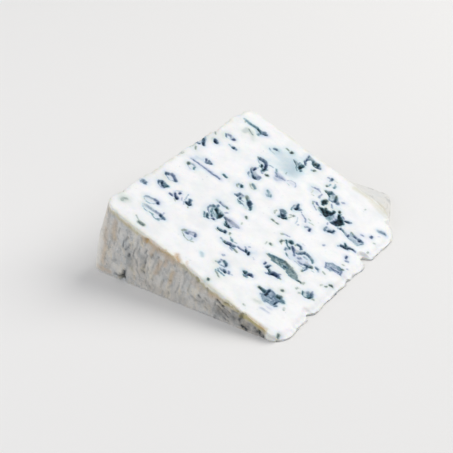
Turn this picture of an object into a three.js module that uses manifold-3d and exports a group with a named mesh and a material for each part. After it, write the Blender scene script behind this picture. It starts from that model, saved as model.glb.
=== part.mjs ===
// A wedge of soft blue cheese, cut from a small drum-shaped wheel.
//
// The wheel stood on its flat face, and the wedge is one thin sector of it, laid down on one of its
// two cut faces. So the rind's arc is the thick end, the middle of the wheel is the thin edge, and
// the wheel's two flat faces are the long triangular sides. +X runs from the thick end to the thin
// edge, +Y from the near side to the far side, and +Z up. Millimetres throughout.

import * as THREE from 'three';
import { mergeVertices } from 'three/addons/utils/BufferGeometryUtils.js';
import Module from 'manifold-3d';

// ---- driving dimensions ----

const wheelRadius = 100;                              // rind to the middle of the wheel
const wheelHeight = 124;                              // between the wheel's two flat faces
const sectorAngle = THREE.MathUtils.degToRad(20.6);   // between the two cuts
const thinEdge = 1.6;                                 // paste left where the two cuts meet

const rimRound = 6.5;       // worn edge between the wheel's flat face and its rind
const tipRound = 7;         // near corner of the thin edge, broken blunt
const cornerRound = 23;     // far corner of the thin edge, pressed round

const footReach = 21;       // how far the far side has slumped outwards at its foot
const footReachThick = 9;   // the same at the thick end, where the rind holds it up
const footLip = 2.4;        // upright lip along the slumped foot
const footFull = 0.5;       // share of the radius at which the slump is at its widest
const footWanes = 0.74;     // share at which it starts to run out
const footEnd = 0.96;       // share at which it has run out

const cutWave = 0.35;       // height of the cutting wire's ripples on the top face
const cutWaveSize = 34;     // and their length
const rindWave = 0.5;       // depth of the dents in the rind
const rindDentSize = 21;    // and their size
const rindFade = 0.06;      // share of the wedge over which the dents fade into the cut faces
const raggedEdge = 0.9;     // depth of the thin edge's crumbling
const raggedSize = 13;      // and its size

const lumpiness = 0.15;     // how uneven the walls of a hole are
const deepest = 0.45;       // share of the wedge's thickness that a hole may reach into

const stepsAlong = 26;
const stepsAcross = 32;
const stepsUp = 4;

// Notches crumbled out of the thin edge, as [across, width, depth].
const notches = [[26, 5, 2.2], [82, 7, 4.2], [61, 4, 0.9]];

// Ripening holes and cracks that the cut has opened, as
// [down the slope from the thick edge, across from the near side, length, width, depth, turn in degrees].
const thickEndHoles = [
  [2, 27.5, 4.5, 3.5, 1.6, 0], [1.5, 78, 7, 6, 2.4, -10], [5.5, 83.5, 4.5, 4, 2.4, 0],
  [8, 42, 7, 4.5, 2, -5], [9, 34, 6, 4.5, 2.4, 0], [8.5, 57.5, 5, 4, 1.4, 0],
  [11.5, 68, 5, 3.5, 2, -15], [7.5, 93.5, 7, 4.5, 1.6, 5], [13.5, 88, 5, 3, 1.2, 10],
  [12, 21, 8, 3.5, 1.4, 20], [17.5, 15.5, 11, 5, 1.8, 7], [16, 33.5, 6, 5, 1.6, 0],
  [23.5, 35, 4.5, 3.5, 2, 0], [14, 113, 11, 3.2, 1.8, 5], [17.5, 5, 5, 3, 1.8, -13],
];
const middleHoles = [
  [34, 41, 11, 9, 2.4, 60], [36, 43, 7, 3.5, 4.6, -40], [43, 41, 8, 4.5, 3, -15],
  [44, 34, 5, 3, 1.8, 15], [33.5, 49.5, 8, 2.4, 1.2, 5], [36, 18.5, 8, 6, 1.5, 5],
  [39, 60, 11, 8, 2.2, -10], [27, 95, 7, 5.5, 2.4, -10], [30.5, 82.5, 8, 7, 2.8, -5],
  [42, 109.5, 8, 7, 2.4, -10], [46, 119, 9, 4.5, 2.4, -20], [43, 76, 4.5, 4, 1.2, 0],
  [35, 73.5, 3.5, 3, 1.1, 0], [31, 67.5, 3.5, 3, 1.1, 0], [55, 70, 7, 6, 2.6, 0],
  [57, 81.5, 5.5, 5, 2, 0], [54.5, 31.5, 16, 6.5, 1.8, 25],
];
const thinEndHoles = [
  [57, 116, 5, 5, 1.5, 0], [60, 110.5, 7, 5, 1.3, 15], [65.5, 105, 9, 5.5, 3, -5],
  [63, 98.5, 4.5, 4.5, 2.8, 0], [68, 92, 8.5, 7.5, 3.8, 0], [74.5, 92.5, 8.5, 9, 4.4, 5],
  [76, 82, 5, 4, 1.5, 20], [85, 88, 13, 4.5, 1.4, 10], [87.5, 80, 9, 3.5, 1.8, 20],
  [64.5, 77, 9, 3.5, 1, -15], [68, 56, 5.5, 4.5, 1.5, 0], [76.5, 53, 16, 9, 1.8, 8],
  [83.5, 52.5, 7, 5, 1.2, 0], [73, 33, 10, 5, 2.4, -10], [66.5, 22, 5, 3.5, 1.8, 10],
  [57.5, 15, 10, 8.5, 1.2, -10], [81, 20, 14, 11, 1.5, 10], [91.5, 36, 6.5, 5, 1.4, 10],
  [90.5, 61.5, 9, 6, 1.2, 15],
];
const crevice = [76, 41, 22, 5, 2.8, 0];

// ---- small helpers ----

let seed = 4711;

function random() {
  seed = (seed * 16807) % 2147483647;
  return seed / 2147483647;
}

function between(low, high) {
  return low + (high - low) * random();
}

/** Uneven waves from -1 to 1, about `size` mm long. */
function waves(p, q, size) {
  const a = (2 * Math.PI * p) / size;
  const b = (2 * Math.PI * q) / size;
  return (Math.sin(a + 1.7 * Math.sin(0.61 * b + 0.4)) + Math.sin(1.31 * b + 1.3 * Math.sin(0.83 * a))
    + Math.sin(0.57 * (a - b) + 2.1)) / 3;
}

/** Smooth step from 0 at `from` to 1 at `to`. */
function ease(value, from, to) {
  const share = THREE.MathUtils.clamp((value - from) / (to - from), 0, 1);
  return share * share * (3 - 2 * share);
}

/** Moves a point, given by its distances inside two edges, so that their corner turns round. */
function roundCorner(inFirst, inSecond, radius) {
  if (inFirst >= radius || inSecond >= radius) return [inFirst, inSecond];
  const first = radius - inFirst;
  const second = radius - inSecond;
  const shrink = Math.max(first, second) / Math.hypot(first, second);
  return [radius - first * shrink, radius - second * shrink];
}

/** Thickness of the wedge at a share of the radius from the thick end. */
function thickness(along) {
  return thinEdge + wheelRadius * (1 - along) * Math.sin(sectorAngle);
}

/** How far the far side stands out beyond its top edge. */
function footOffset(along, height) {
  const widest = THREE.MathUtils.lerp(footReachThick, footReach, ease(along, 0, footFull));
  const reach = widest * (1 - ease(along, footWanes, footEnd));
  const rise = THREE.MathUtils.clamp((height - footLip) / Math.max(thickness(along) - footLip, 0.1), 0, 1);
  return reach * (1 - rise) ** 1.3;
}

/** How far the thin edge has crumbled back. */
function crumbled(across) {
  let back = raggedEdge * (0.5 + 0.5 * waves(across, 0, raggedSize));
  for (const [centre, width, depth] of notches) {
    back += depth * (1 - ease(Math.abs(across - centre), width * 0.2, width * 0.5));
  }
  return back;
}

// ---- the wedge's body ----

/** Point of the wedge for three shares: along the radius, across the wheel and up through the sector. */
function wedgePoint(along, across, up) {
  const thick = along < 0.5;
  const near = across < 0.5;
  const thinCorner = near ? tipRound : cornerRound;
  const [fromEnd, fromSide] = roundCorner(
    wheelRadius * (thick ? along : 1 - along),
    wheelHeight * (near ? across : 1 - across),
    thick ? rimRound : thinCorner,
  );
  const fromMiddle = thick ? wheelRadius - fromEnd : fromEnd;
  const y = near ? fromSide : wheelHeight - fromSide;

  const thinShare = ease(along, 0.9, 1);
  const rindShare = 1 - ease(along, 0, rindFade);
  const angle = sectorAngle * up;
  const radius = fromMiddle + thinShare * crumbled(y);
  const rindDent = rindShare * rindWave * waves(y, wheelRadius * angle, rindDentSize);
  const point = new THREE.Vector3(
    wheelRadius - (radius + rindDent) * Math.cos(angle),
    y,
    radius * Math.sin(angle) + thinEdge * up,
  );

  const sideDent = rindWave * ease(up, 0, 0.4) * waves(point.x, point.z, rindDentSize);
  point.y += (1 - ease(across, 0, rindFade)) * sideDent;
  point.y += ease(across, 0.8, 1) * (footOffset(along, point.z) + sideDent);
  point.z += (1 - 0.6 * thinShare) * ease(up, 0.8, 1) * cutWave * waves(point.x, point.y, cutWaveSize);
  return point;
}

function makeBody() {
  const geometry = new THREE.BoxGeometry(1, 1, 1, stepsAlong, stepsAcross, stepsUp);
  const position = geometry.getAttribute('position');
  for (let i = 0; i < position.count; i++) {
    const point = wedgePoint(position.getX(i) + 0.5, position.getY(i) + 0.5, position.getZ(i) + 0.5);
    position.setXYZ(i, point.x, point.y, point.z);
  }
  return geometry;
}

// ---- the holes ----

/** A lumpy closed blob that leaves one hole where it is cut out of the top face. */
function makeHole([slope, across, length, width, depth, turn]) {
  const detail = length > 12 ? 2 : 1;
  const geometry = mergeVertices(bare(new THREE.IcosahedronGeometry(1, detail)));
  const position = geometry.getAttribute('position');
  for (let i = 0; i < position.count; i++) {
    const lump = between(1 - lumpiness, 1 + lumpiness);
    position.setXYZ(i, position.getX(i) * lump, position.getY(i) * lump, position.getZ(i) * lump);
  }
  const room = deepest * thickness(slope / wheelRadius);
  geometry.scale(length / 2, width / 2, Math.min(depth, room));
  geometry.rotateZ(THREE.MathUtils.degToRad(turn));
  geometry.rotateY(sectorAngle);
  const surface = wedgePoint(slope / wheelRadius, 0.5, 1);
  geometry.translate(surface.x, across, surface.z);
  return geometry;
}

/** The long crevice tapers to a point at both ends. */
function makeCrevice([slope, across, length, width, depth, turn]) {
  const outline = new THREE.Shape();
  outline.moveTo(-length / 2, 0);
  outline.quadraticCurveTo(length * 0.1, width * 1.1, length / 2, 0);
  outline.quadraticCurveTo(length * 0.05, -width * 0.9, -length / 2, 0);
  const geometry = new THREE.ExtrudeGeometry(outline, { depth: depth * 2, bevelEnabled: false, curveSegments: 7 });
  geometry.rotateZ(THREE.MathUtils.degToRad(turn));
  geometry.translate(0, 0, -depth);
  geometry.rotateY(sectorAngle);
  const surface = wedgePoint(slope / wheelRadius, 0.5, 1);
  geometry.translate(surface.x, across, surface.z);
  return geometry;
}

// ---- cutting ----

/** The geometry with nothing but its positions, so that shared corners can be merged. */
function bare(geometry) {
  geometry.deleteAttribute('normal');
  geometry.deleteAttribute('uv');
  return geometry;
}

const wasm = await Module();
wasm.setup();

function toSolid(geometry) {
  const merged = mergeVertices(bare(geometry));
  return new wasm.Manifold(new wasm.Mesh({
    numProp: 3,
    vertProperties: new Float32Array(merged.getAttribute('position').array),
    triVerts: new Uint32Array(merged.index.array),
  }));
}

function toGeometry(solid) {
  const mesh = solid.getMesh();
  const geometry = new THREE.BufferGeometry();
  geometry.setAttribute('position', new THREE.BufferAttribute(new Float32Array(mesh.vertProperties), 3));
  geometry.setIndex(new THREE.BufferAttribute(new Uint32Array(mesh.triVerts), 1));
  return geometry;
}

function makeWedge() {
  let solid = toSolid(makeBody());
  for (const hole of [...thickEndHoles, ...middleHoles, ...thinEndHoles]) {
    solid = solid.subtract(toSolid(makeHole(hole)));
  }
  solid = solid.subtract(toSolid(makeCrevice(crevice)));

  const geometry = toGeometry(solid);
  geometry.computeBoundingBox();
  const { min, max } = geometry.boundingBox;
  geometry.translate(-(min.x + max.x) / 2, -(min.y + max.y) / 2, -min.z);
  geometry.computeVertexNormals();
  return geometry;
}

// ---- the part ----

const paste = new THREE.MeshStandardMaterial({ color: '#f1f0ea', roughness: 0.55, metalness: 0, flatShading: true });

const wedge = new THREE.Mesh(makeWedge(), paste);
wedge.name = 'cheese_wedge';

const cheese = new THREE.Group();
cheese.add(wedge);

export default cheese;
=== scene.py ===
"""Blue cheese wedge: the finish of its cut paste, mould pockets and natural rind.

The wedge is one piece. A block is cut into fine strips, bent into the sector of a wheel, and then its
surface is worked: holes are sunk into the upper cut face, mould grows along their walls, the edges are
worn and chipped, and the rind is dented and pitted. What each spot of the surface is, such as the mould
in a hole, is kept in attributes that the material reads. Lengths in this file are millimetres until the
mesh is written.
"""
import math
from itertools import product

import bmesh
import bpy
import numpy as np
from mathutils import Matrix, Vector


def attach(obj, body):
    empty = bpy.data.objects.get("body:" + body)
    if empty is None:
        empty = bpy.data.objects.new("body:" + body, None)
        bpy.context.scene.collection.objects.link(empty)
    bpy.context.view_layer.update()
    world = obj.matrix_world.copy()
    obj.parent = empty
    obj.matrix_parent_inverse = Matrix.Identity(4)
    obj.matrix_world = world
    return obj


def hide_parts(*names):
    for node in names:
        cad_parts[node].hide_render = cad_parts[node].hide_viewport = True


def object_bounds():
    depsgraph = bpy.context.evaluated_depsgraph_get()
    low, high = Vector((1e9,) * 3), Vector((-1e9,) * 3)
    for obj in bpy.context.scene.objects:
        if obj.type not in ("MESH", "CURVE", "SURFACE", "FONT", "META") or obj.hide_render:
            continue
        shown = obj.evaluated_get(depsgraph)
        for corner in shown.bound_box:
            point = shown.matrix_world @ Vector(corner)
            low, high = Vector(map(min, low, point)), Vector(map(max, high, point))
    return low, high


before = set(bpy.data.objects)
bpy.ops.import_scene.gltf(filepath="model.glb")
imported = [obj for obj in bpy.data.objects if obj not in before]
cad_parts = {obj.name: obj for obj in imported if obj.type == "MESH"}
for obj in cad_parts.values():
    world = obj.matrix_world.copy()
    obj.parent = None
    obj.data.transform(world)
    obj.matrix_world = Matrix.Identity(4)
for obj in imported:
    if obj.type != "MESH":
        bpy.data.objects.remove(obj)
cad_low, cad_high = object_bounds()

MM = 0.001

# ---- the wheel and the wedge ----

WHEEL_RADIUS = 100.0
WHEEL_HEIGHT = 124.0
SECTOR_ANGLE = math.radians(20.6)
THIN_EDGE = 1.6

# Corners seen from above: at the rim, and at the near and far ends of the thin edge. The far one is a
# little tighter at the base.
RIM_ROUND = 6.5
TIP_ROUND = 7.0
CORNER_ROUND = 23.0
CORNER_SPREAD = 3.0

# The far side has slumped outwards: its reach at the foot and by the thick end, the height of the lip, the
# shares of the radius where it is full, wanes and ends, and how hollow its flank is.
FOOT_REACH = 21.0
FOOT_REACH_THICK = 9.0
FOOT_LIP = 2.4
FOOT_FULL = 0.5
FOOT_WANES = 0.76
FOOT_END = 0.96
FOOT_CURVE = 1.3

# Ripples of the cut and dents of the rind, as heights and lengths. Shares of the way over the block say
# where each part of the shape starts.
CUT_WAVE = 0.35
CUT_WAVE_SIZE = 34.0
RIND_WAVE = 0.5
RIND_DENT_SIZE = 21.0
RIND_FADE = 0.06
DENTS_FULL = 0.4
TOP_FROM = 0.8
FAR_FROM = 0.8
THIN_FROM = 0.9
THIN_CALM = 0.6

# The thin edge: how ragged it is, how much thinner it is at the very end and over which shares, and its
# notches as place across, width and depth.
RAGGED_EDGE = 0.9
RAGGED_SIZE = 13.0
EDGE_FEATHER = 0.45
FEATHER_SPAN = (0.955, 0.995)
NOTCHES = ((26, 5, 2.2), (82, 7, 4.2), (61, 4, 0.9))
NOTCH_FLOOR = 0.2
# Crumbs broken out of its face: what shows of the field, over which shares, and how deep.
CRUMB_START, CRUMB_SPAN, CRUMB_DEPTH = 0.3, (0.965, 0.99), 0.9

# How round the long edges are worn, what chips and nicks add, and the most, as a share of the thickness.
UPPER_WEAR, UPPER_CHIPS, UPPER_NICKS, UPPER_WEAR_SHARE = 0.4, 1.9, 2.2, 0.42
LOWER_WEAR, LOWER_CHIPS, LOWER_WEAR_SHARE = 0.5, 1.0, 0.3

# ---- the mesh ----

# Strips of the block, and how often its faces are split again. Beside a mark the mesh is as fine as on it,
# up to the border; a point this close to a face of the block lies on it.
STRIPS_ALONG = 64
STRIPS_ACROSS = 80
STRIPS_UP = 16
CUT_FACE_SPLITS = 1
MOULD_SPLITS = 2
NEAR_RIND_SPLITS = 2
FAR_RIND_SPLITS = 1
MOULD_BORDER = 0.75
ON_FACE = 0.0001

# ---- the rind ----

# Flutes lean towards the thick end and run upwards. They are strongest in the middle of the near side.
FLUTE_LEAN, FLUTE_STRETCH, FLUTE_RELIEF = 0.22, 0.16, 0.5
FLUTE_LEAST, FLUTE_MORE, FLUTES_RISE, FLUTES_FALL = 0.22, 0.68, (24, 30), (56, 48)
PIT_START, PIT_DEPTH, PIT_STRETCH = 0.34, 1.6, np.array([1.0, 1.0, 0.6])
# How far the rind lies inside its smooth shape, and how near an edge its relief starts to fade.
RIND_INSET, RELIEF_FADE = 0.15, 1.5
# Weathering of the rim, and half as strong of the far side: fine cracks and dark blotches.
CRACK_WIDTH, CRACK_STRETCH, CRACKED_SPAN, CRACK_DARK = 0.07, np.array([1.0, 0.7, 1.2]), (-0.1, 0.4), 0.75
BLOTCH_SPAN, BLOTCHED_SPAN, BLOTCH_DARK, FAR_WEATHERED = (0.28, 0.6), (-0.3, 0.3), 0.8, 0.5
# Drawn marks: how soft their edges are, how full and how deep they are, and how far tan reaches over the
# top edge. A chip's depth falls off over this span of its width, and chips stay within this far of the side.
MARK_MARGIN, MARK_SOFT, MARK_SOFT_WIDTH = 2, 0.25, 0.35
MARK_FULLNESS, MARK_DEPTH, TAN_DEPTH, TAN_OVER_EDGE = 0.8, 0.3, 0.8, 0.4
CHIP_SPAN, CHIPS_WITHIN = (1.15, 0.3), 6
# The rim has a painted highlight at its near end, by the near side, and tan patches further on.
NEAR_END_HIGHLIGHT, NEAR_END_SPAN = 0.85, (10.0, 0.0)
RIM_TAN, RIM_TAN_SPAN, RIM_TAN_RISE = 0.32, (0.1, 0.6), (6.0, 16.0)
# How far the white paste laps over the near edge, at these distances along it, and over the other edges.
LAP_ALONG = (0, 12, 24, 38, 44, 52, 62, 70, 80, 92)
LAP_DEPTH = (0.8, 1.6, 1.9, 0.5, 0.1, 0.9, 1.7, 1.9, 0.9, 0.1)
FAR_LAP = 0.3
# Where the skin starts under the lap and over the foot, where the broken thin edge ends it, which share of
# the way across counts as the far side, and a distance that stands for no rind near by.
SKIN_SPAN, SKIN_FOOT, RIND_ENDS, FAR_EDGE_ENDS = (0.0, 0.4), (-0.05, 0.15), (90.8, 92.4), 92
FAR_SIDE_SPAN, NOWHERE_NEAR = (0.9, 1.0), 99
# An olive border runs along the top of the skin.
BORDER_BELOW, BORDER_WIDTH, BORDER_LEAST, BORDER_NEAR, BORDER_FAR = 0.6, 0.8, 0.35, 0.65, 0.4
# Painted shade in hollows, which darkens the colour: in the pits, the chips and the bottoms of the flutes.
CHIP_SHADE, FLUTE_SHADE, FLUTE_SHADE_FROM = 0.25, 1.3, 0.12

# ---- mould ----

# Its hue runs from violet over navy and teal to a grey green.
VIOLET, NAVY, TEAL, GREEN = -1, 0, 1, 2
# Shares of the tabled values that the model uses. Their dark is mould, and in part painted shade along the
# edges of holes and painted shadow on the floors of the deepest holes.
HOLE_DEPTH, FLOOR_MOULD_AND_SHADOW, RIM_MOULD_AND_SHADE, LINE_MOULD_AND_SHADE = 0.55, 0.62, 0.4, 0.92
# A hole's wall starts this far inside its outline and is this wide; no hole goes deeper than these shares
# of the wedge's thickness at its middle and at any spot.
HOLE_LIP, HOLE_WALL, HOLE_ROOM, HOLE_LIMIT, THIN_LIMIT = 0.2, 1.2, 0.45, 0.5, 0.97
# Distances inside the outline where the mould of the floor, the rim and the tint round it start and end; the
# rim's dark line is partly painted shade of the hole's edge.
FLOOR_SPAN, RIM_OUTSIDE, RIM_INSIDE = (-0.2, 0.6), (-0.4, 0.1), (1.1, 0.3)
HOLE_HALO, HOLE_HALO_SPAN, HOLE_MARGIN, MOULD_FULLNESS = 0.6, (-3.0, 0.4), 3.5, 0.85
# Lines: how soft and how patchy they are, how deep they lie, and the depth past which they add nothing.
LINE_FULLNESS, LINE_SOFT, LINE_SOFT_WIDTH, LINE_EVEN, LINE_PATCHY = 1.1, 0.42, 0.27, 0.4, 0.7
LINE_HALO_SPAN, LINE_MARGIN, LINE_DEPTH, DEEP_ENOUGH = (-2.8, 0.4), 3, 0.3, 1.4
STAIN_FALL, STAIN_MARGIN = 1.7, 1.6

# Holes in the upper cut face. Each row is depth, how dark the mould on its floor is, how dark its rim is,
# hue, and then the outline as pairs of slope (down from the thick edge) and across (from the near side).
# Floors past 1 paint the deepest holes black: painted shadow over the mould on their floors.
HOLES = (
    (1.4, 0.35, 0.3, NAVY, 1, 26.1, 1, 28, 2.5, 28.6, 4, 28, 4.2, 26.6, 3.2, 25.9),
    (0.5, 0.2, 0.1, GREEN, 2.8, 8.6, 2.8, 10.4, 4.6, 11.6, 5.6, 11.2, 4.8, 9.4, 4.6, 8),
    (1.3, 0.2, 0.2, GREEN, 16.4, 4, 17, 5, 18.8, 5.2, 20, 4.6, 19.8, 3.6, 18.2, 3.4),
    (1.6, 0.12, 0.4, NAVY, 4.4, 41.2, 4.3, 42.6, 5.8, 43.6, 7.3, 44.6, 9, 44.3, 10.6, 43, 11.4, 41.6, 10.9,
     40.2, 9.4, 39.1, 7.4, 39.6, 5.6, 40.3),
    (1.8, 0.22, 0.5, NAVY, 6, 33.4, 6, 35.2, 7.6, 36.2, 9.6, 36, 11.2, 35, 11.3, 33.4, 10.6, 31.7, 9, 31.4,
     7.4, 31.9),
    (1.2, 0.08, 0.3, NAVY, 8.4, 19.4, 8.6, 21, 10.4, 21.9, 12.6, 22.9, 14.6, 23, 15.8, 22.2, 15, 20.9, 13.8,
     19, 12, 17.6, 10.2, 18),
    (1.4, 0.1, 0.3, TEAL, 11.2, 14.6, 11, 15.8, 13.5, 16.8, 16, 17, 18.5, 17.2, 20.7, 17.2, 22.6, 16.6, 23,
     15.2, 22, 13.2, 20, 12.2, 18.2, 12.8, 15.6, 12.9, 13, 13.4),
    (0.9, 0.12, 0.2, NAVY, 14.6, 31, 14.8, 32.2, 16.4, 34.6, 18.8, 33, 19.4, 31.4, 17.4, 30.4),
    (0.6, 0.2, 0.2, NAVY, 16.9, 35, 17.1, 36.9, 18.4, 36.8, 18.2, 35),
    (1.7, 0.5, 0.4, NAVY, 22.2, 33.4, 22.3, 35, 23, 36.8, 24.3, 36.3, 25.2, 35, 25.2, 33.2, 23.7, 32.7),
    (1.2, 0.08, 0.25, NAVY, 6.5, 56.4, 6.5, 58.6, 8.3, 59.9, 10.4, 59.6, 11.7, 58, 11.5, 56, 10, 54.9, 8.2,
     55.2),
    (1.5, 0.2, 0.35, NAVY, 9.9, 67.6, 9.8, 69, 11.6, 69.3, 13.4, 68.9, 14.4, 67.6, 13.8, 66.2, 12, 65.7,
     10.8, 66.4),
    (0.7, 0.3, 0.2, TEAL, 21.5, 65.9, 21.6, 67.2, 23, 67.3, 24.4, 66.6, 24.3, 65.6, 22.8, 65.5),
    (1.6, 0.3, 0.4, NAVY, -1, 73.5, 1.4, 73.3, 2.3, 75.2, 4.3, 74.6, 5, 75.8, 3.6, 77.2, 3, 79.5, 1.5, 81.3,
     -1, 82),
    (2.0, 0.5, 0.4, NAVY, 4.2, 82.6, 3.9, 84.6, 5.8, 85.1, 7.4, 84, 7.7, 82.2, 6.5, 81.5, 5, 81.7),
    (1.4, 0.15, 0.35, NAVY, 4.6, 92.2, 4.8, 94.6, 6.6, 95.6, 8.8, 95.1, 10.7, 94.4, 11, 92.8, 9.6, 91.9, 8,
     91.4, 6.4, 90.9),
    (1.0, 0.25, 0.2, NAVY, 11.6, 87, 12, 88.4, 14, 88.6, 15.9, 88.6, 16.3, 87.2, 14.9, 86.2, 12.8, 86.3),
    (1.3, 0.5, 0.3, NAVY, 9, 112.2, 11, 113.7, 14, 113.8, 17, 114.6, 18.6, 113.5, 18.3, 111.6, 16.6, 110.6,
     15.9, 108.6, 14.8, 108.8, 14.7, 110.8, 12, 111.6),
    (1.7, 0.14, 0.3, TEAL, 30.4, 39, 30, 42, 30.6, 44.6, 33, 45, 35.5, 44.8, 38, 44.2, 39, 42.4, 38.6, 39.4,
     38, 36.2, 36.2, 35.4, 34.8, 33.8, 32.8, 34, 31.6, 36, 33, 37.6),
    (2.0, 0.3, 0.2, -0.4, 38.9, 41.9, 38.7, 43.2, 41, 43.6, 44, 43.9, 47.5, 43.4, 47.8, 42, 45.8, 40.6,
     45.2, 38.4, 43.6, 37.6, 42, 38.6, 41.2, 40.4),
    (1.6, 0.35, 0.3, TEAL, 41.2, 32.8, 41.4, 34.3, 43.4, 34.6, 45, 35.6, 46.1, 35, 46, 33.4, 44, 32.4, 42.4,
     32.2),
    (1.0, 0.15, 0.3, NAVY, 30.2, 48.2, 30.2, 49.5, 33, 49.8, 37, 49.8, 37.6, 48.8, 36.4, 47.8, 33, 47.6),
    (1.9, 0.18, 0.3, TEAL, 33.3, 59.8, 33.6, 61.6, 34.2, 63.7, 36, 63.4, 37.2, 65.5, 39, 65.4, 40.4, 63.4,
     42.2, 62, 44, 60.2, 44.7, 57.6, 43.4, 56.2, 41, 56.2, 39.6, 57, 37, 57.4, 35.6, 59),
    (0.9, 0.15, 0.4, NAVY, 29.6, 66.2, 29.5, 68.2, 30.8, 69.3, 32.5, 68.9, 33.1, 67.4, 32.5, 65.9, 30.8,
     65.2),
    (0.9, 0.25, 0.3, GREEN, 33.2, 73.4, 33.4, 74.8, 35.2, 75.2, 37, 74.4, 37.8, 72.8, 37.3, 71.5, 35.6,
     71.4, 34, 72.2),
    (1.0, 0.3, 0.2, TEAL, 40.8, 76.8, 41.2, 78.3, 43, 78, 44.8, 76.8, 45.6, 75, 44.8, 73.6, 43, 73.6, 41.6,
     75),
    (2.0, 0.28, 0.3, NAVY, 28, 78.8, 27.6, 81, 26.6, 83.8, 27.3, 85.2, 29.2, 85.6, 30.2, 84, 32.2, 82.8,
     34.8, 82.4, 35, 80.2, 33.6, 78.2, 31.4, 77.2, 29.4, 77.6),
    (1.9, 0.2, 0.3, NAVY, 24.9, 94, 25.4, 95.4, 28, 96.1, 30.2, 95.6, 31.8, 93.6, 32.6, 90.8, 33.4, 87, 33,
     85.2, 31.6, 86, 30.4, 88.4, 28.8, 89.8, 26.8, 91.6),
    (0.5, 0.3, 0.1, VIOLET, 36.2, 93, 37.6, 91, 39.4, 89.2, 41, 88.6, 41.2, 90.8, 42.8, 91.6, 42.7, 93,
     39.8, 93.6, 37.4, 94),
    (1.2, 0.1, 0.25, NAVY, 31.6, 17.2, 31.9, 18.8, 33.6, 20, 35.4, 20.6, 37, 21.9, 38.6, 21.2, 39.2, 19.2,
     38.8, 17, 38.6, 15.3, 36.8, 14.4, 34.8, 15, 33, 16),
    (0.6, 0.3, 0.1, NAVY, 25.6, 107.2, 25.8, 108.6, 27.6, 108.9, 28.6, 108, 27.8, 106.9),
    (0.8, 0.4, 0.2, GREEN, 32.6, 112.4, 32.6, 114.2, 34, 114.6, 34.9, 113.4, 34.4, 112),
    (2.0, 0.3, 0.3, TEAL, 37.2, 109.2, 38.4, 110.2, 41, 110, 42.4, 111.2, 43.8, 110.8, 44, 108, 44.9, 105.2,
     43.6, 104, 42, 105.4, 40.4, 106.4, 38.8, 107.6),
    (2.0, 0.35, 0.3, TEAL, 40.3, 114, 40, 117, 39.6, 119.6, 40.4, 121.2, 42.8, 120.6, 45, 120.3, 47.6,
     120.2, 49, 118.8, 49.9, 117.2, 48.4, 115.8, 46, 115.5, 44.4, 117.2, 42.8, 118, 42, 116.4, 42.3, 114.6,
     43.6, 113, 43.2, 111.6, 41.8, 112.6),
    (1.0, 0.12, 0.3, NAVY, 52.9, 15, 53.4, 17.4, 54.4, 19, 56.4, 19.4, 58, 17.8, 58.6, 15.8, 57.4, 14.8,
     55.2, 15),
    (0.9, 0.15, 0.3, NAVY, 57, 12.2, 57.2, 14, 59.4, 14.4, 61, 13.4, 60.6, 11.8, 58.8, 11.6),
    (1.4, 0.4, 0.2, NAVY, 47.8, 28.2, 48.6, 30, 51.4, 30.8, 53.8, 31.4, 54, 29.6, 51.6, 28.4, 49.4, 27.6),
    (1.3, 0.5, 0.3, NAVY, 57.4, 32, 57.4, 34.2, 59, 34, 60.6, 33.6, 60.8, 32, 59.2, 31.6),
    (0.8, 0.4, 0.2, VIOLET, 54.2, 31, 54.3, 32.2, 57, 32.7, 57.4, 31.6, 55.8, 30.9),
    (1.5, 0.3, 0.3, TEAL, 64.4, 20.6, 64.5, 22.2, 66.4, 22.6, 68.4, 23.1, 70, 22, 69.6, 20.8, 67.8, 20.4,
     67.8, 18.6, 66.2, 18.2, 65.4, 19.6),
    (1.8, 0.4, 0.3, NAVY, 69.4, 32.8, 69.6, 35.4, 70.8, 35.2, 71.6, 33.6, 74, 33.6, 76.4, 34.2, 77.6, 32.6,
     78.4, 32, 77.6, 30.8, 75.4, 30.6, 73, 30, 71.8, 31.2),
    (0.6, 0.4, 0.2, VIOLET, 67.4, 33.8, 67.6, 35.2, 68.8, 35.1, 68.7, 33.7),
    (2.0, 0.3, 0.3, NAVY, 54.2, 66.4, 54, 68.4, 53.4, 70.4, 52.4, 71.4, 53.4, 73.4, 55.6, 73.4, 57.2, 71.4,
     57.8, 70, 59, 69.2, 57.6, 67.2, 56, 66.6),
    (0.5, 0.25, 0.1, GREEN, 53.8, 61.4, 53.8, 62.7, 56, 62.4, 58, 62.8, 58.1, 61.4, 56, 61.5),
    (1.6, 0.25, 0.25, NAVY, 55.2, 79.4, 54.9, 81.4, 56, 83, 57, 84, 57.9, 82.4, 59.6, 81.6, 59.4, 79.6,
     57.8, 78, 56.4, 77.6),
    (0.8, 0.1, 0.2, VIOLET, 66.2, 72.2, 66.6, 74.2, 69, 74.6, 70.8, 73.6, 70.6, 71.6, 69, 71),
    (1.2, 0.12, 0.4, TEAL, 66.4, 57, 66.9, 55.2, 68.6, 53.8, 70, 53.6, 70, 55.6, 70, 57.6, 69, 58.8, 67.4,
     58.3),
    (1.4, 0.14, 0.2, -0.5, 68.7, 51, 70.2, 49.4, 72.4, 47.8, 75.6, 47.8, 78.6, 47.8, 80.6, 48, 81, 46.4,
     82.4, 45.6, 83, 47.4, 82.8, 49.6, 84.2, 51.6, 83.8, 53, 82, 53.2, 80.4, 53.4, 81, 54.8, 82.8, 55.2,
     82.4, 57, 80, 58.4, 77, 58.4, 75, 57.8, 74, 56.4, 72, 55.6, 70.4, 56.2, 69.6, 54),
    (0.7, 0.1, 0.2, NAVY, 70.8, 57, 71, 59.2, 72.8, 60.2, 74.2, 58.8, 74.3, 57.4, 73, 57, 72, 57.4),
    (0.7, 0.2, 0.2, NAVY, 84.6, 53, 84.7, 54.8, 86.4, 54.8, 87.4, 53, 87, 51.8, 85.6, 52.2),
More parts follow.
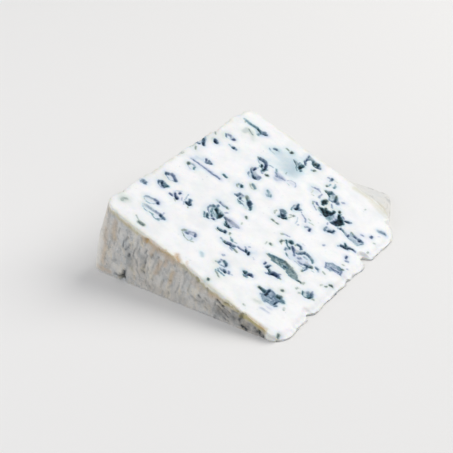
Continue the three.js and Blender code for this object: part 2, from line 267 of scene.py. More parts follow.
    (1.7, 0.88, 0.3, 1.5, 65.3, 40.6, 66, 41.3, 67.5, 41.8, 69, 42.8, 71, 43.7, 73, 44.2, 75, 44.2, 77,
     43.7, 79, 43.2, 80.5, 42.8, 82, 42, 83, 40.6, 84.4, 39.2, 85.6, 38.6, 84, 38, 82, 37.5, 80.5, 37.3, 79,
     38, 77.5, 38.6, 75, 39, 73, 39.1, 71, 39.3, 69.5, 38.9, 68.3, 39.1, 66.5, 40.2),
    (1.2, 0.82, 0.3, 0.4, 74.3, 18.4, 74.3, 19.4, 77, 20.2, 78.3, 22.2, 80, 22.2, 82, 22, 83, 23.2, 85,
     23.3, 87, 21.5, 87.5, 20.8, 86, 19.5, 85.3, 18, 86.2, 16.8, 86.3, 15.2, 84, 14.9, 82.5, 14.5, 80.5,
     13.5, 79, 14.5, 77.8, 15.5, 77.5, 17.5, 75.5, 18.3),
    (1.2, 0.35, 0.3, TEAL, 89, 35, 89.4, 33, 91.4, 32.4, 93.4, 33, 94.4, 35, 94.5, 37, 93.2, 38.6, 91.4,
     38.2, 90.2, 36.6),
    (0.9, 0.68, 0.3, -0.2, 86.3, 61, 87.3, 62.5, 88.5, 64, 90, 64.3, 92, 64.2, 93.8, 65.2, 94.3, 63.5, 94.8,
     61.5, 95, 60.6, 93, 60, 91.5, 59.6, 90.3, 58.3, 88.5, 57.8, 87.8, 58.2, 87.6, 59.5),
    (1.4, 0.6, 0.3, NAVY, 84.3, 76.3, 84.8, 77.5, 85.5, 77.8, 87.5, 77.9, 88.8, 78.5, 89.2, 79.8, 90.3,
     80.2, 91.5, 80.3, 91.6, 81.2, 90, 81.4, 88.5, 81.3, 87, 80.8, 85.8, 81.2, 85.6, 80.6, 86.3, 79.5, 85.3,
     78.8, 84.4, 78),
    (1.2, 0.2, 0.3, NAVY, 73.3, 79.2, 73.1, 81.2, 73.8, 83.4, 75.8, 83, 77.2, 84, 78.6, 83.4, 79, 81.6,
     77.6, 80.6, 76, 79.4, 74.6, 78.8),
    (1.0, 0.5, 0.25, NAVY, 78.2, 86.8, 78.4, 88.8, 80.4, 89, 82.6, 88.4, 83.6, 88.6, 83.4, 90.6, 86, 91.2,
     90, 91, 91.8, 90.6, 91.6, 88.2, 90.6, 86, 88, 85.2, 84.4, 85.4, 82.6, 85.8, 80.6, 86.8),
    (2.2, 1.6, 0.4, 1.2, 64.3, 91.5, 65.2, 90.8, 66.5, 90, 68, 89, 69.5, 88.4, 70.2, 89.2, 69.8, 90.8, 70,
     92.3, 71, 93.5, 70.8, 95, 70.3, 95.8, 69.6, 94.5, 67.5, 94.3, 66, 93.8, 65, 93.2, 64.4, 92.7),
    (2.4, 1.7, 0.5, 0.6, 73.2, 87.4, 74.4, 86.8, 75.6, 87.3, 76.8, 88.8, 77.8, 90.5, 78.2, 92.5, 77.6, 94.2,
     76, 95.4, 74.6, 96, 73.4, 96.8, 72.7, 95.8, 73.6, 94, 74.2, 92, 73.8, 89.6),
    (1.0, 0.6, 0.3, GREEN, 71.6, 97.8, 71.8, 99.4, 73.2, 99.2, 73.4, 97.6),
    (1.2, 0.5, 0.2, NAVY, 77.6, 94.4, 77.8, 96, 79.4, 97.2, 80, 96.6, 79.4, 94.8),
    (1.8, 1.5, 0.4, 1.5, 64.2, 95.2, 63, 96.6, 62.2, 97.8, 62.2, 99.6, 63.5, 100.1, 64.8, 99.6, 65.1, 98,
     64.9, 96.4),
    (2.0, 0.3, 0.3, NAVY, 59.4, 104.6, 59, 106, 60.6, 107.2, 62, 108.4, 64, 108, 64.4, 106.6, 66.6, 107.6,
     67.4, 106, 68.9, 104.4, 68.6, 102.8, 66.6, 102.2, 64.6, 101.8, 62.8, 103.4, 61, 104),
    (0.9, 0.3, 0.2, NAVY, 56.4, 114.4, 56.3, 116.6, 58, 117, 58.4, 115.2, 57.8, 114.2),
    (0.6, 0.25, 0.1, GREEN, 57.6, 108, 57.7, 110.6, 58.8, 112, 59.4, 110.4, 59, 108.2),
    (0.6, 0.2, 0.1, GREEN, 60.6, 111, 60.8, 113.4, 62, 113, 61.9, 111),
    (0.5, 0.08, 0.1, NAVY, 53, 100.9, 53.4, 102.4, 55.4, 103.9, 57.4, 103.4, 57.8, 101.6, 57, 99, 55, 98,
     53.6, 99.2),
    (0.5, 0.1, 0.15, VIOLET, 59.6, 92, 59.8, 94, 61.8, 94.3, 63.6, 93, 64, 90.6, 63.8, 88.6, 62, 89, 60.4,
     90.4),
    (0.6, 0.3, 0.1, NAVY, 91.8, 104.6, 92.6, 106.2, 94.6, 107, 96.2, 106.8, 95.6, 105.4, 93.6, 104.4),
)

# Lines and dabs of mould. Each row is how dark it is, its width, hue, and its path as pairs of slope and
# across.
# Where a line traces a hole's edge, its dark is partly mould and partly painted shade of that edge.
LINES = (
    (0.75, 1.6, 0, 3.5, 26.6, 3.4, 27.5), (0.5, 2.2, 0, 2.2, 26.6, 2, 27.6),
    (0.34, 1.7, 2, 4.2, 8.4, 3.5, 9.4, 3.7, 10.2, 4.8, 11), (0.55, 1.9, 2, 17.4, 4.1, 19.3, 4.2),
    (0.35, 0.8, 2, 16.8, 4.8, 15.4, 5.4, 13.8, 6.3),
    (0.35, 0.8, 0, 8.9, 19, 8.7, 20.4, 9.6, 21.3, 11, 21.8, 12.4, 22.3, 13.6, 22.7),
    (0.3, 0.8, 2, 8.9, 19, 9.8, 18.4, 11, 18.2), (0.5, 1.4, 1, 11.4, 18, 12.4, 18.4),
    (0.4, 0.9, 0, 12.8, 18.4, 13.8, 19.4, 14.4, 20.4, 14.8, 21.2), (0.6, 1.1, -1, 12.8, 22.6, 14, 22.8),
    (0.98, 1.5, -1, 15.3, 21.5, 14.7, 22.4), (0.3, 0.8, 1, 11.2, 14.8, 12.3, 13.8, 13.6, 13.3),
    (0.4, 0.9, 1, 13.6, 13.3, 15, 13.2, 16.4, 13.8), (0.55, 1.2, 1, 16.2, 13.8, 17.4, 14.1, 18.4, 13.2),
    (0.65, 1, 1, 18.4, 13.2, 19.6, 12.6, 20.8, 12.4), (0.5, 1.2, 1, 20.8, 12.4, 22, 12.7),
    (0.75, 1.3, 0, 21.4, 13.6, 22, 14.6, 22.4, 15.4), (0.8, 1.4, 0, 22.2, 15.9, 22.9, 15.6),
    (0.85, 1.3, 0, 20.2, 16.6, 21, 16.2), (0.5, 0.9, -1, 19.9, 16.8, 18.4, 16.5, 17.6, 16.8),
    (0.35, 0.8, 0, 17.6, 16.6, 15.8, 16.2, 14, 16.1, 12.6, 16), (0.4, 0.7, -1, 20.7, 17.2, 20.6, 19),
    (0.8, 1, 0, 8.8, 32.1, 7.4, 32.5, 6.6, 33.4, 6.2, 34.5), (0.6, 0.8, 0, 6.3, 34.5, 6.9, 35.5, 8, 35.9),
    (1, 1.3, 0, 9, 34.1, 8.3, 34.8, 7.6, 35.5), (1, 1.5, -1, 9.4, 32.2, 10.2, 32.3),
    (0.8, 1.6, 1, 10.4, 33.8, 10.9, 34.6), (0.55, 1.2, 1, 9.8, 35.2, 8.8, 35.7),
    (0.85, 1, 0, 7.4, 40.1, 6.2, 40.7, 5.2, 41.2, 4.7, 42), (0.8, 1.1, 0, 5, 42.2, 5.9, 42.8),
    (0.5, 0.9, -1, 6, 43, 7, 43.9), (0.7, 1.1, -1, 7, 44, 8.2, 43.9, 9.2, 43.2),
    (0.75, 1.1, -1, 9.4, 42.9, 10.6, 42), (0.9, 1.3, 0, 10.9, 41.6, 10.5, 41),
    (0.5, 1, 0, 9.4, 39.5, 8.4, 39.6), (0.4, 0.7, -1, 9.8, 40.2, 10.4, 40.6),
    (0.8, 1.3, -1, 15, 31.5, 15.7, 31.6), (1, 1.2, -1, 18.6, 32, 17.4, 32.8),
    (1, 1.1, -1, 17.2, 33, 16, 34), (0.4, 0.8, 2, 18.9, 30, 17.6, 31),
    (0.85, 1, -1, 17.6, 35.4, 17.4, 36.4), (0.35, 0.6, 0, 15.4, 34.8, 15.4, 36, 16.6, 37.4, 17.2, 38),
    (0.35, 0.8, -1, 20.8, 32.8, 19.6, 34.6), (0.4, 0.7, 0, 21.3, 34.5, 20.9, 36.8, 20.2, 39),
    (0.35, 0.6, -1, 22.8, 31.6, 21.6, 33.2), (1, 2, 0, 23.2, 34, 24.2, 34.2),
    (0.9, 1.4, 0, 24.6, 33.8, 24.4, 34.8), (0.8, 1.5, 0, 23.4, 35.6, 23, 36.4),
    (0.35, 0.7, 2, 24.4, 33, 25.2, 31.6), (0.7, 1.4, 2, 7, 56.8, 7.1, 58),
    (0.45, 0.8, -1, 7.8, 56.2, 9, 55.4, 10, 55.2), (0.35, 0.7, 0, 7.8, 58.8, 9, 59.2, 10.2, 58.8),
    (0.7, 1, 1, 11.2, 56.4, 10.9, 57.4, 10.5, 58.2), (0.4, 0.9, 2, 5.6, 61.4, 7, 61.6),
    (0.62, 1.1, -1, 7, 61.7, 9, 61.9, 12, 62.3, 14.5, 62.1, 17, 62.1, 18.6, 61.9, 20.2, 62.3, 22.6, 62.2),
    (0.85, 1.6, 0, 11.8, 66.4, 12.4, 67.2), (0.85, 1.3, 0, 13.3, 67.1, 13.8, 67.6),
    (0.75, 1, -1, 11.2, 67.6, 10.5, 68.4), (0.5, 0.9, 0, 12, 68.9, 13, 68.5),
    (0.75, 1.4, 1, 22.2, 66.5, 23.8, 66.2), (0.6, 0.9, 2, 3, 69.3, 2.4, 70, 2, 70.9),
    (0.5, 0.9, 2, 0.4, 68.2, 0.4, 69.4), (0.4, 1.2, 2, 0.6, 60.2, 0.7, 61.2),
    (0.75, 1.6, 0, 0.4, 74.2, 1.6, 74.4), (0.95, 1.3, 0, 3.4, 75.6, 2.7, 76.6, 2.2, 77.8),
    (0.9, 1.1, 0, 2.1, 78, 1.7, 79.2, 0.8, 80.4), (0.8, 1.4, 0, 3.9, 75.2, 3.5, 75.7),
    (0.95, 1.4, 1, 0.9, 79.8, 0.2, 80.4), (1, 2, 0, 6.4, 82.6, 5.6, 83.6), (1, 1.5, -1, 5, 84, 5.6, 83.6),
    (0.75, 0.9, 0, 6.9, 91.7, 5.9, 92.6, 5.3, 93.8), (0.6, 0.9, -1, 6.2, 94.6, 7.2, 94.9),
    (0.45, 0.8, 0, 7.3, 94.6, 8.4, 93.9), (0.65, 1, 1, 8, 92.2, 8.8, 92.6),
    (1, 1.6, -1, 9.9, 93.1, 10.1, 93.6), (0.85, 1.5, 0, 13.4, 87.4, 13.9, 87.8),
    (0.4, 1, 1, 12.6, 87.4, 11.2, 87.8), (0.55, 1.1, 0, 14.6, 87.9, 15.5, 88),
    (0.6, 0.9, 2, 2.1, 88.2, 1.1, 89.6), (0.6, 0.8, 2, 13.6, 106, 11.8, 106.7, 10.2, 107.7),
    (0.42, 1.8, 1, 4.4, 112.9, 6, 112.6, 8, 112.4), (0.55, 2.2, 1, 8, 112.4, 9.6, 112.4, 11.4, 112.8),
    (0.85, 1.3, 1, 12.6, 112.9, 14, 112.6, 15.2, 112.3), (1, 1.7, 0, 16.6, 112.4, 17.6, 112.8),
    (0.55, 1.4, 1, 15.3, 108.9, 15.2, 110.2, 15.8, 111.4), (0.6, 1.4, 0, 15.8, 113.2, 16.6, 114),
    (0.35, 0.8, 2, 5.8, 110.7, 4.8, 112), (0.4, 0.9, 2, 32.2, 17.3, 32.6, 18.6, 33.4, 19.2),
    (0.7, 1.4, -1, 34, 18.4, 34.8, 18.6), (0.35, 0.8, -1, 34.6, 19.6, 35.8, 20.6, 36.8, 21.4),
    (0.85, 1.1, -1, 37.9, 20, 37.3, 21), (0.5, 0.9, 2, 33.4, 16.4, 34.8, 15.6),
    (0.6, 1, 2, 34.8, 15.4, 36.2, 15, 37.4, 14.9), (0.4, 0.7, 1, 37.8, 15.6, 38, 17, 37.6, 18),
    (0.35, 0.7, 2, 38.6, 15.2, 39.6, 16), (0.4, 0.9, -1, 36, 19.6, 37, 19.8),
    (0.65, 0.9, 1, 33.3, 33.8, 32.4, 35, 31.6, 36.4), (0.9, 1.1, 0, 35.3, 35, 34.2, 35.9, 33.3, 36.8),
    (0.7, 1.4, 1, 33.8, 35.6, 33.6, 36.8), (0.8, 1, 0, 35.1, 38.2, 34.4, 39.2),
    (0.6, 0.9, 1, 34, 39.8, 32.4, 41.2), (1, 1.4, -1, 36.4, 36.8, 36.5, 37.4),
    (0.55, 0.9, -1, 33.4, 38.6, 31.6, 39.9, 30.6, 41.2), (0.55, 0.8, 0, 30.6, 41.2, 30.5, 42.8, 31.2, 44.2),
    (0.6, 0.9, 1, 31.2, 44.2, 32.2, 44.6), (0.65, 1, 0, 33.2, 45.3, 32.9, 46.5),
    (0.6, 0.8, 1, 33.2, 40.8, 32.2, 42.4, 32, 43.4), (0.5, 0.8, 1, 34.4, 40.4, 33.6, 42),
    (0.35, 1.6, 1, 36, 39.8, 35.2, 41.4), (0.5, 1.1, 1, 36.6, 40.6, 35.6, 42.2),
    (1, 1.6, 1, 37.6, 40, 37.2, 41.6), (1, 2, 1, 37.4, 41.9, 36.8, 42.8),
    (1, 1.3, 1, 35.6, 42.8, 34.4, 43.4, 33.5, 43.9), (1, 1.4, 1, 37.6, 43, 36.2, 43.4),
    (0.45, 0.9, -1, 38, 45, 38.5, 45.9), (1, 1.7, 1, 42.6, 38.6, 43.4, 38.8),
    (1, 2.2, 1, 43.6, 39.2, 44.2, 39.2), (1, 1.4, 1, 42.2, 40, 41.8, 41.2),
    (0.95, 1.3, 0, 41, 41.6, 39.6, 42.2), (1, 1.3, 0, 44.6, 39.8, 43.2, 40.6),
    (0.6, 0.7, -1, 40.2, 42.8, 42.4, 43.2), (0.5, 0.7, -1, 44.8, 42, 47.6, 42.6),
    (0.9, 1.5, 1, 42.6, 33.4, 43.6, 33.4), (0.8, 1.1, 1, 41.6, 33.6, 42.4, 33.4),
    (0.95, 1.3, 0, 45.3, 33.7, 45, 34.8), (0.8, 1.1, 0, 43.8, 33.8, 44.8, 34.2),
    (0.35, 0.9, 2, 41.4, 32, 42.6, 31.8), (0.6, 0.9, 2, 47.4, 34.7, 47.1, 35.8),
    (0.65, 1.2, -1, 32.2, 48.8, 33.8, 48.6), (0.5, 1, 0, 33.8, 48.6, 35.2, 49.1),
    (0.6, 1.1, 2, 36.2, 49.1, 36.9, 48.6), (0.35, 1, 2, 30.4, 48.6, 31.6, 48.6),
    (0.7, 1, 0, 33.7, 60.2, 34.4, 61.2), (0.65, 1.1, 0, 34.5, 61.4, 34.7, 62.8),
    (0.4, 0.9, -1, 34.8, 63, 36, 63), (1, 1.3, 0, 36.5, 60.5, 36.1, 61.4),
    (0.6, 0.8, 0, 36.8, 60.6, 38.2, 60.8), (0.75, 1.1, 1, 36.8, 58.2, 37.8, 58.8),
    (0.9, 1.3, -1, 38.6, 58.4, 39.5, 58.1), (0.45, 1.3, 1, 37, 57.6, 38.8, 57),
    (0.65, 1.4, 2, 37.9, 64.4, 38.6, 63.9), (0.75, 0.9, 1, 38.8, 63.6, 39.6, 62.9),
    (0.85, 1.6, 0, 40.3, 62.4, 41.4, 61.2), (0.75, 1.1, 0, 41.8, 62.2, 40.8, 62.8),
    (0.8, 1.2, 0, 41.8, 60.8, 42.6, 60.3), (0.75, 1, 1, 43, 60.1, 43.6, 59, 43.9, 57.6),
    (0.45, 0.9, 2, 41.4, 56.8, 42.6, 56.6), (0.7, 1.1, 2, 46.2, 51, 45.7, 51.7),
    (0.3, 0.9, 2, 47.1, 45.3, 46.9, 46.4), (0.5, 0.9, 2, 30.9, 66, 30.1, 67, 30.3, 68.2),
    (0.5, 0.8, 0, 30.6, 68.6, 31.6, 68.9), (0.8, 1.2, 1, 32.4, 67.8, 31.8, 68.6),
    (0.4, 0.7, -1, 31.4, 65.8, 32.4, 66.6), (0.4, 0.9, 2, 37, 72.2, 35.6, 72, 34.4, 72.6, 33.8, 73.6),
    (0.6, 1.2, 1, 34.6, 74.5, 36, 73.9, 36.8, 73.2), (0.5, 1.1, 1, 41.8, 77.4, 42.8, 76.9),
    (0.4, 1.6, 1, 43.2, 76.2, 43.8, 75), (0.45, 0.9, 1, 44.9, 75.4, 44.4, 76.4),
    (0.4, 0.9, -1, 42.4, 75, 43.6, 74.2), (1, 1.7, 0, 33, 80.3, 31.8, 80.9),
    (0.95, 1.4, 0, 31.6, 81, 30.4, 81.6), (0.8, 1.1, 0, 30.2, 81.8, 28.8, 82.8),
    (0.65, 1.1, 0, 28.6, 82.9, 27.6, 83.9), (0.5, 1, 0, 28.4, 79.4, 28.4, 80.8),
    (0.4, 1.2, 1, 29.6, 78.8, 31.4, 78), (0.5, 1, 0, 34.2, 79.4, 34.4, 82.2),
    (0.5, 1.2, -1, 33, 81.9, 34, 82.3), (0.85, 1.4, -1, 28.8, 84.8, 28.9, 85.4),
    (0.35, 0.8, 0, 29.2, 86, 29.4, 87.4), (1, 1.4, 1, 29.8, 90.4, 29.3, 91.9),
    (0.55, 1, -1, 32.9, 85.6, 31.9, 86.6), (0.55, 1, 1, 31.8, 87, 31.4, 88.4),
    (0.8, 1.2, 1, 31.6, 88.6, 31.7, 90), (1, 1.3, 0, 31.7, 90.2, 31.5, 91.6),
    (0.95, 1.2, -1, 31.4, 91.8, 30.9, 93.2), (0.85, 1.2, -1, 30.8, 93.4, 29.8, 94.6),
    (0.7, 1.2, 0, 29.4, 94.9, 27.8, 95.2), (0.65, 1.2, 0, 27.4, 95, 26.2, 94.6),
    (0.55, 1, 2, 25.9, 94.4, 25.3, 93.8), (0.45, 1, 0, 25.8, 93, 27, 91.6, 28.2, 90.8),
    (0.6, 1.2, 1, 32.4, 88.8, 32.9, 90), (0.55, 1.6, 1, 29.6, 89.2, 30.4, 90),
    (0.8, 1.4, 2, 35.1, 86.2, 35.5, 86.6), (0.45, 0.9, 0, 32.2, 94.4, 33.8, 94.6),
    (0.5, 0.9, 1, 35.6, 95.4, 36.4, 94.2, 36.8, 93), (0.5, 1.4, 0, 37, 92.8, 38.6, 92),
    (0.45, 2.2, -1, 38.8, 91.8, 40.2, 91.9), (0.45, 1.2, -1, 40.4, 92.4, 42.4, 92),
    (0.55, 1.4, -1, 38.4, 90.6, 38.8, 91.6),
    (0.3, 0.7, -1, 43.6, 93, 44.8, 95, 47, 95.4, 48.4, 94, 48.6, 92.6),
    (0.25, 0.7, 2, 46, 91.2, 44.4, 91.6), (0.4, 0.7, 2, 40.6, 96.8, 40.1, 98.2),
    (0.7, 1.6, 0, 26.4, 107.6, 27.2, 107.9), (0.35, 1, 0, 28, 107.7, 29.2, 107.9),
    (0.3, 0.9, 0, 25.6, 104.6, 28.6, 104.2), (0.4, 0.8, 0, 24.6, 105.6, 25.6, 105),
    (0.6, 1.1, 2, 30.6, 113.6, 32, 113.3), (0.9, 1.5, 2, 33.6, 112.7, 33.8, 113.8),
    (0.55, 0.9, 0, 37.4, 109.4, 38.4, 108.9), (0.85, 1, 1, 38.6, 108.8, 39.8, 108.1),
    (0.8, 0.9, 1, 40, 107.9, 41, 106.6), (1, 2, 1, 42.3, 108.9, 42.7, 109.9),
    (0.9, 1.2, 1, 42.4, 107.7, 42.7, 108.4), (0.6, 1, 1, 43.2, 107.6, 44.2, 106),
    (0.45, 1.1, 1, 41.2, 105.6, 42.6, 104), (0.5, 0.9, 0, 40.6, 109.6, 40.6, 111),
    (0.5, 1.1, 1, 41.4, 108, 41.6, 110.6), (0.65, 1, 0, 43, 112.2, 42.2, 113.6),
    (0.7, 1.1, -1, 42, 113.8, 41.2, 114.6), (0.7, 1, 0, 41.1, 114.8, 41, 116.8),
    (0.8, 1.2, -1, 41, 117, 41.1, 118.8), (0.55, 1, 0, 40.6, 119.4, 40.2, 120.6),
    (0.7, 1.4, 1, 41.8, 119.2, 43.4, 119.2), (0.95, 1.6, 1, 43.6, 118.9, 45, 117.9),
    (1, 1.8, 1, 45.4, 117.2, 46.6, 116.6), (1, 2.2, 0, 46.9, 117, 47.8, 117.3),
    (0.85, 1.6, 2, 45.6, 118.8, 46.6, 119.2), (0.9, 1.6, 0, 47.4, 118.2, 47, 119.6),
    (1, 1.2, 0, 48.4, 117, 49, 117.2), (0.8, 1.4, 2, 48, 112.4, 48.2, 113.2),
    (0.4, 0.9, 0, 47.2, 111.6, 46.8, 112.2), (0.8, 1.1, 2, 57.5, 2.2, 57.5, 2.9),
    (0.55, 0.8, 2, 59.9, 7.8, 58.4, 8.9, 57, 9.8), (0.45, 0.8, 1, 56.8, 10, 56.3, 10.5),
    (0.6, 0.8, 1, 60.8, 10.6, 59, 10.6, 57.5, 11, 56.7, 11.8), (0.6, 1, 0, 57.2, 13, 58.4, 12.7),
    (0.9, 1.3, 0, 59, 13.6, 59.9, 12.9), (0.6, 1.1, -1, 61.5, 13.6, 60.9, 14.7),
    (0.45, 0.9, 2, 53.2, 15.2, 54.2, 15.8), (0.6, 0.9, 0, 54.4, 16, 54.4, 17.2),
    (0.45, 0.8, -1, 54, 18.4, 55.2, 18.8), (0.8, 1, 1, 55.4, 18.8, 56.6, 18.4),
    (0.95, 1.1, 0, 56.8, 18.2, 57.7, 17.2), (0.55, 1.1, 0, 57.9, 16.6, 57.6, 15.6),
    (0.55, 1.4, 0, 56.4, 15.6, 57.2, 15.8), (0.4, 0.8, 0, 54.8, 15, 56.2, 14.8),
    (0.35, 0.9, -1, 62.2, 14, 62.8, 14.2), (0.4, 1.2, -1, 52.8, 21.2, 53.2, 21.8),
    (1, 1.5, 1, 65.1, 21.2, 65.7, 21.5), (0.6, 1.7, 1, 66.4, 19.4, 67.2, 19.4),
    (0.85, 1.1, -1, 66.6, 20.8, 67.2, 21.7), (0.9, 1.1, -1, 67.4, 21.9, 68.4, 22.3),
    (0.7, 1, -1, 68.7, 22.3, 69.4, 21.6), (0.4, 0.8, 2, 66.2, 18.8, 66.8, 18.2),
    (0.45, 1.1, 0, 46.2, 29.2, 47.6, 28.7), (0.75, 1.3, 2, 48.2, 28.6, 49.6, 28.9),
    (0.85, 1.6, -1, 50, 29.2, 51.4, 29.9), (0.7, 1.1, 0, 51.8, 30, 53.2, 30.7),
    (0.75, 1.1, 0, 51.8, 29.1, 53.4, 28.8), (0.6, 0.9, 2, 53.8, 28.7, 55.8, 28.5),
    (0.55, 1.3, 1, 50, 32.9, 50.6, 32.3), (0.4, 0.8, 1, 48.8, 33.6, 49.8, 33),
    (0.3, 0.8, 1, 51, 32.4, 52.6, 33), (0.65, 1.1, -1, 54.4, 31.7, 55.8, 31.6),
    (0.8, 1.2, -1, 56, 31.7, 57.6, 32), (1, 1.3, 0, 58.1, 33.4, 58.6, 32.4),
    (1, 1.2, 0, 59.6, 33.4, 59.8, 32), (0.5, 0.7, -1, 57.8, 34, 56.6, 34.6),
    (0.45, 1, -1, 57.5, 36.2, 57.9, 36.6), (0.3, 0.7, -1, 62.6, 32.4, 63.4, 31.8),
    (0.4, 0.8, -1, 52.4, 27.8, 53.6, 27.4), (0.8, 1, -1, 68.1, 33.7, 68, 35.1),
    (0.9, 1, 0, 69.8, 32.8, 70, 34.2), (0.8, 0.9, 0, 70.2, 34.4, 70.6, 35.2),
    (0.95, 1.2, 1, 71.2, 32.6, 72.4, 32.3), (0.6, 1.1, -1, 71.8, 29.4, 72.6, 29.8),
    (0.95, 1.8, 0, 73.2, 30.6, 73.6, 31.8), (1, 1.5, -1, 73.8, 32.2, 74.6, 32.7),
    (0.95, 1.2, -1, 75, 32.9, 76.2, 33), (0.7, 1.1, -1, 76.6, 32.9, 77.4, 32.4),
    (0.65, 1, 2, 77.6, 32.2, 78.2, 31.8), (0.5, 1, -1, 76.4, 33.9, 76.8, 34.4),
    (0.8, 1.2, 0, 72.6, 31.6, 73.2, 30.4), (0.3, 0.7, 2, 61, 45.4, 60.8, 47.2),
    (0.6, 1.2, 2, 62.6, 47.5, 63.2, 47.6), (0.65, 1.1, 2, 54.3, 62, 55, 62),
    (0.5, 0.8, 2, 55, 62.1, 56.8, 62.1), (0.65, 1.1, 2, 57, 62, 57.5, 62),
    (0.4, 0.9, 2, 52.4, 67.2, 51.7, 68.6, 51.8, 70), (1, 1.5, 1, 55.1, 67, 55.3, 68.6),
    (1, 2.4, 1, 56.2, 68.7, 56.8, 68.8), (1, 1.2, 1, 57.8, 68.9, 58.1, 69),
    (1, 1.6, 0, 55.4, 70.2, 54.5, 71), (0.9, 1.2, 0, 54.2, 71.2, 53.6, 71.6),
    (0.9, 1.5, 0, 56.2, 70, 55.4, 71.4), (0.6, 1.2, 0, 53.2, 71.8, 54, 72.8),
    (0.55, 1.2, 1, 54.4, 73, 55.8, 72.6), (0.65, 1, 2, 59.4, 73.7, 59.6, 74.5),
    (0.3, 0.8, 2, 58.6, 70.6, 59.2, 72.6), (0.35, 1, 2, 58, 73.2, 58.6, 73.8),
    (1, 1.5, 0, 57.3, 80.5, 57.6, 81.3), (0.8, 0.9, 0, 57.1, 81.8, 56.6, 83.6),
    (0.55, 0.9, 1, 56.4, 77.2, 56, 78.6), (0.45, 0.8, 0, 55.9, 79, 55.6, 81.2),
    (0.55, 1.4, 0, 58.8, 80.9, 59.2, 81.3), (0.55, 0.9, -1, 61.8, 79.1, 62.8, 78.6),
    (0.6, 0.9, -1, 63.2, 78.4, 64.4, 77.6), (0.5, 0.8, -1, 64.5, 77.4, 65.3, 75.8),
    (0.35, 0.8, -1, 60.4, 80.2, 61.4, 79.4), (0.3, 0.6, 0, 62.8, 70.2, 62.5, 72.6, 61.4, 74.8),
    (0.3, 0.9, -1, 64.1, 70.3, 64.3, 71), (0.35, 0.9, 2, 65.2, 79.4, 66.2, 79.2),
    (0.3, 0.9, 2, 66.8, 77.3, 69, 77.4), (0.95, 1.3, -1, 69.8, 72.5, 69.5, 73.6),
    (0.5, 0.8, -1, 67, 72.8, 67.8, 73.8), (0.5, 0.9, 0, 68, 73.9, 69.2, 73.9),
    (0.35, 0.7, 2, 66.8, 72.4, 67.4, 72), (0.4, 0.8, 2, 65.9, 52.4, 65.1, 53),
    (0.7, 1.1, 2, 64.9, 53.2, 64.9, 54.3), (0.5, 0.9, 2, 65.1, 54.6, 65.8, 55.2),
    (0.45, 0.9, 2, 62.6, 57.6, 63.2, 58.4), (0.4, 0.8, -1, 63.6, 58.8, 66, 59.6),
    (0.95, 1.1, 1, 66.6, 56.2, 67.4, 55.2), (0.9, 1.1, 1, 67.6, 55, 68.8, 54.2),
    (0.8, 1.2, 1, 69, 54, 70, 53.8), (0.9, 1.3, 1, 68.2, 57.8, 69.4, 57.5),
    (0.6, 0.9, 1, 67.6, 57, 67.9, 57.6), (0.65, 1, 0, 69.2, 50.6, 68.9, 52),
    (0.5, 0.8, 0, 69.6, 52.6, 69.4, 53.4), (0.55, 0.9, 0, 70.6, 49.8, 71.4, 48.8),
    (0.75, 1.1, 2, 71, 49.4, 71.8, 48.6), (0.55, 1, 0, 72, 48.3, 74, 48),
    (0.5, 1, 0, 74.2, 48.2, 76.4, 48.9), (0.45, 0.9, 0, 76.6, 48.9, 78.4, 48.6),
    (0.55, 0.9, 1, 78.6, 48.4, 80.4, 48.7), (0.75, 1.1, -1, 70.4, 55.4, 71.6, 54.9),
    (0.75, 1.2, -1, 71.8, 54.7, 72.8, 53.6), (0.65, 1.1, -1, 73, 53.4, 74, 52),
    (0.7, 1.1, 0, 73.6, 54.4, 74.6, 54.8), (0.8, 1, 0, 74.8, 55.2, 75.8, 56.6),
    (0.75, 1.1, 0, 76, 57, 76.4, 57.6), (0.5, 1.6, -1, 76.2, 52.4, 76.8, 53.2),
    (0.5, 1.4, -1, 77.6, 50.8, 79.2, 50.6), (0.4, 1.3, 0, 77.4, 55.6, 79, 55.4),
    (0.6, 1, 0, 77.4, 57.8, 79.2, 57.6), (0.6, 1, 1, 79.4, 57.4, 81.2, 56.8),
    (0.65, 1, 1, 81.4, 56.6, 82.2, 55.6, 82.2, 54.8), (0.6, 1.1, 2, 82, 45.9, 82, 47),
    (0.7, 1, 0, 82.4, 47.2, 82.4, 49.2), (0.5, 0.8, 0, 81, 48.4, 81.4, 49.6),
    (0.75, 1, 0, 82.4, 49.4, 81.8, 50.6), (0.95, 1.5, 0, 80.4, 51.5, 81.4, 51.5),
    (0.85, 1.2, 0, 81.8, 51.6, 82.8, 52), (0.85, 1.3, 2, 83, 52.2, 83.6, 51.8),
    (0.6, 0.9, 2, 70.9, 57.4, 71.2, 58.6), (0.8, 1, 0, 71.4, 58.8, 72.8, 59.2),
    (0.8, 1, 0, 73, 59, 73.8, 58.2), (0.6, 0.8, 0, 73.9, 57.9, 73.7, 57),
    (0.7, 1.3, 0, 85.2, 53.6, 86, 53.7), (0.45, 1, 0, 86.6, 53, 87, 52.3),
    (0.3, 0.8, 1, 84.6, 50, 86, 50.2), (0.5, 1, 2, 88.8, 54.4, 89.8, 54.1),
    (0.35, 1, 2, 92.6, 46, 92.9, 47), (0.65, 0.9, 2, 94.5, 47.3, 94.7, 48),
    (0.9, 1, 2, 95.4, 49.9, 96.2, 50.7), (0.6, 1, -1, 87.9, 58.2, 87.4, 60, 86.6, 61.2),
    (0.5, 0.9, 0, 86.8, 61.6, 88.4, 63.8), (0.5, 0.9, 0, 88.6, 64, 91, 64.3),
    (0.6, 1, 1, 91.2, 64.2, 93.2, 64.6), (0.85, 1.1, 2, 93.6, 64.4, 94, 64.8),
    (0.6, 1, -1, 94.2, 63.4, 94.7, 61.2), (0.7, 1.2, -1, 94.6, 60.9, 94.9, 60.5),
    (0.6, 1, -1, 94, 60.4, 91.6, 60), (0.5, 0.9, 0, 91, 59.4, 90.4, 58.4),
    (0.75, 1.1, -1, 89.4, 61.2, 91, 61.2), (0.8, 1.1, -1, 91.2, 61.2, 93.2, 61.8),
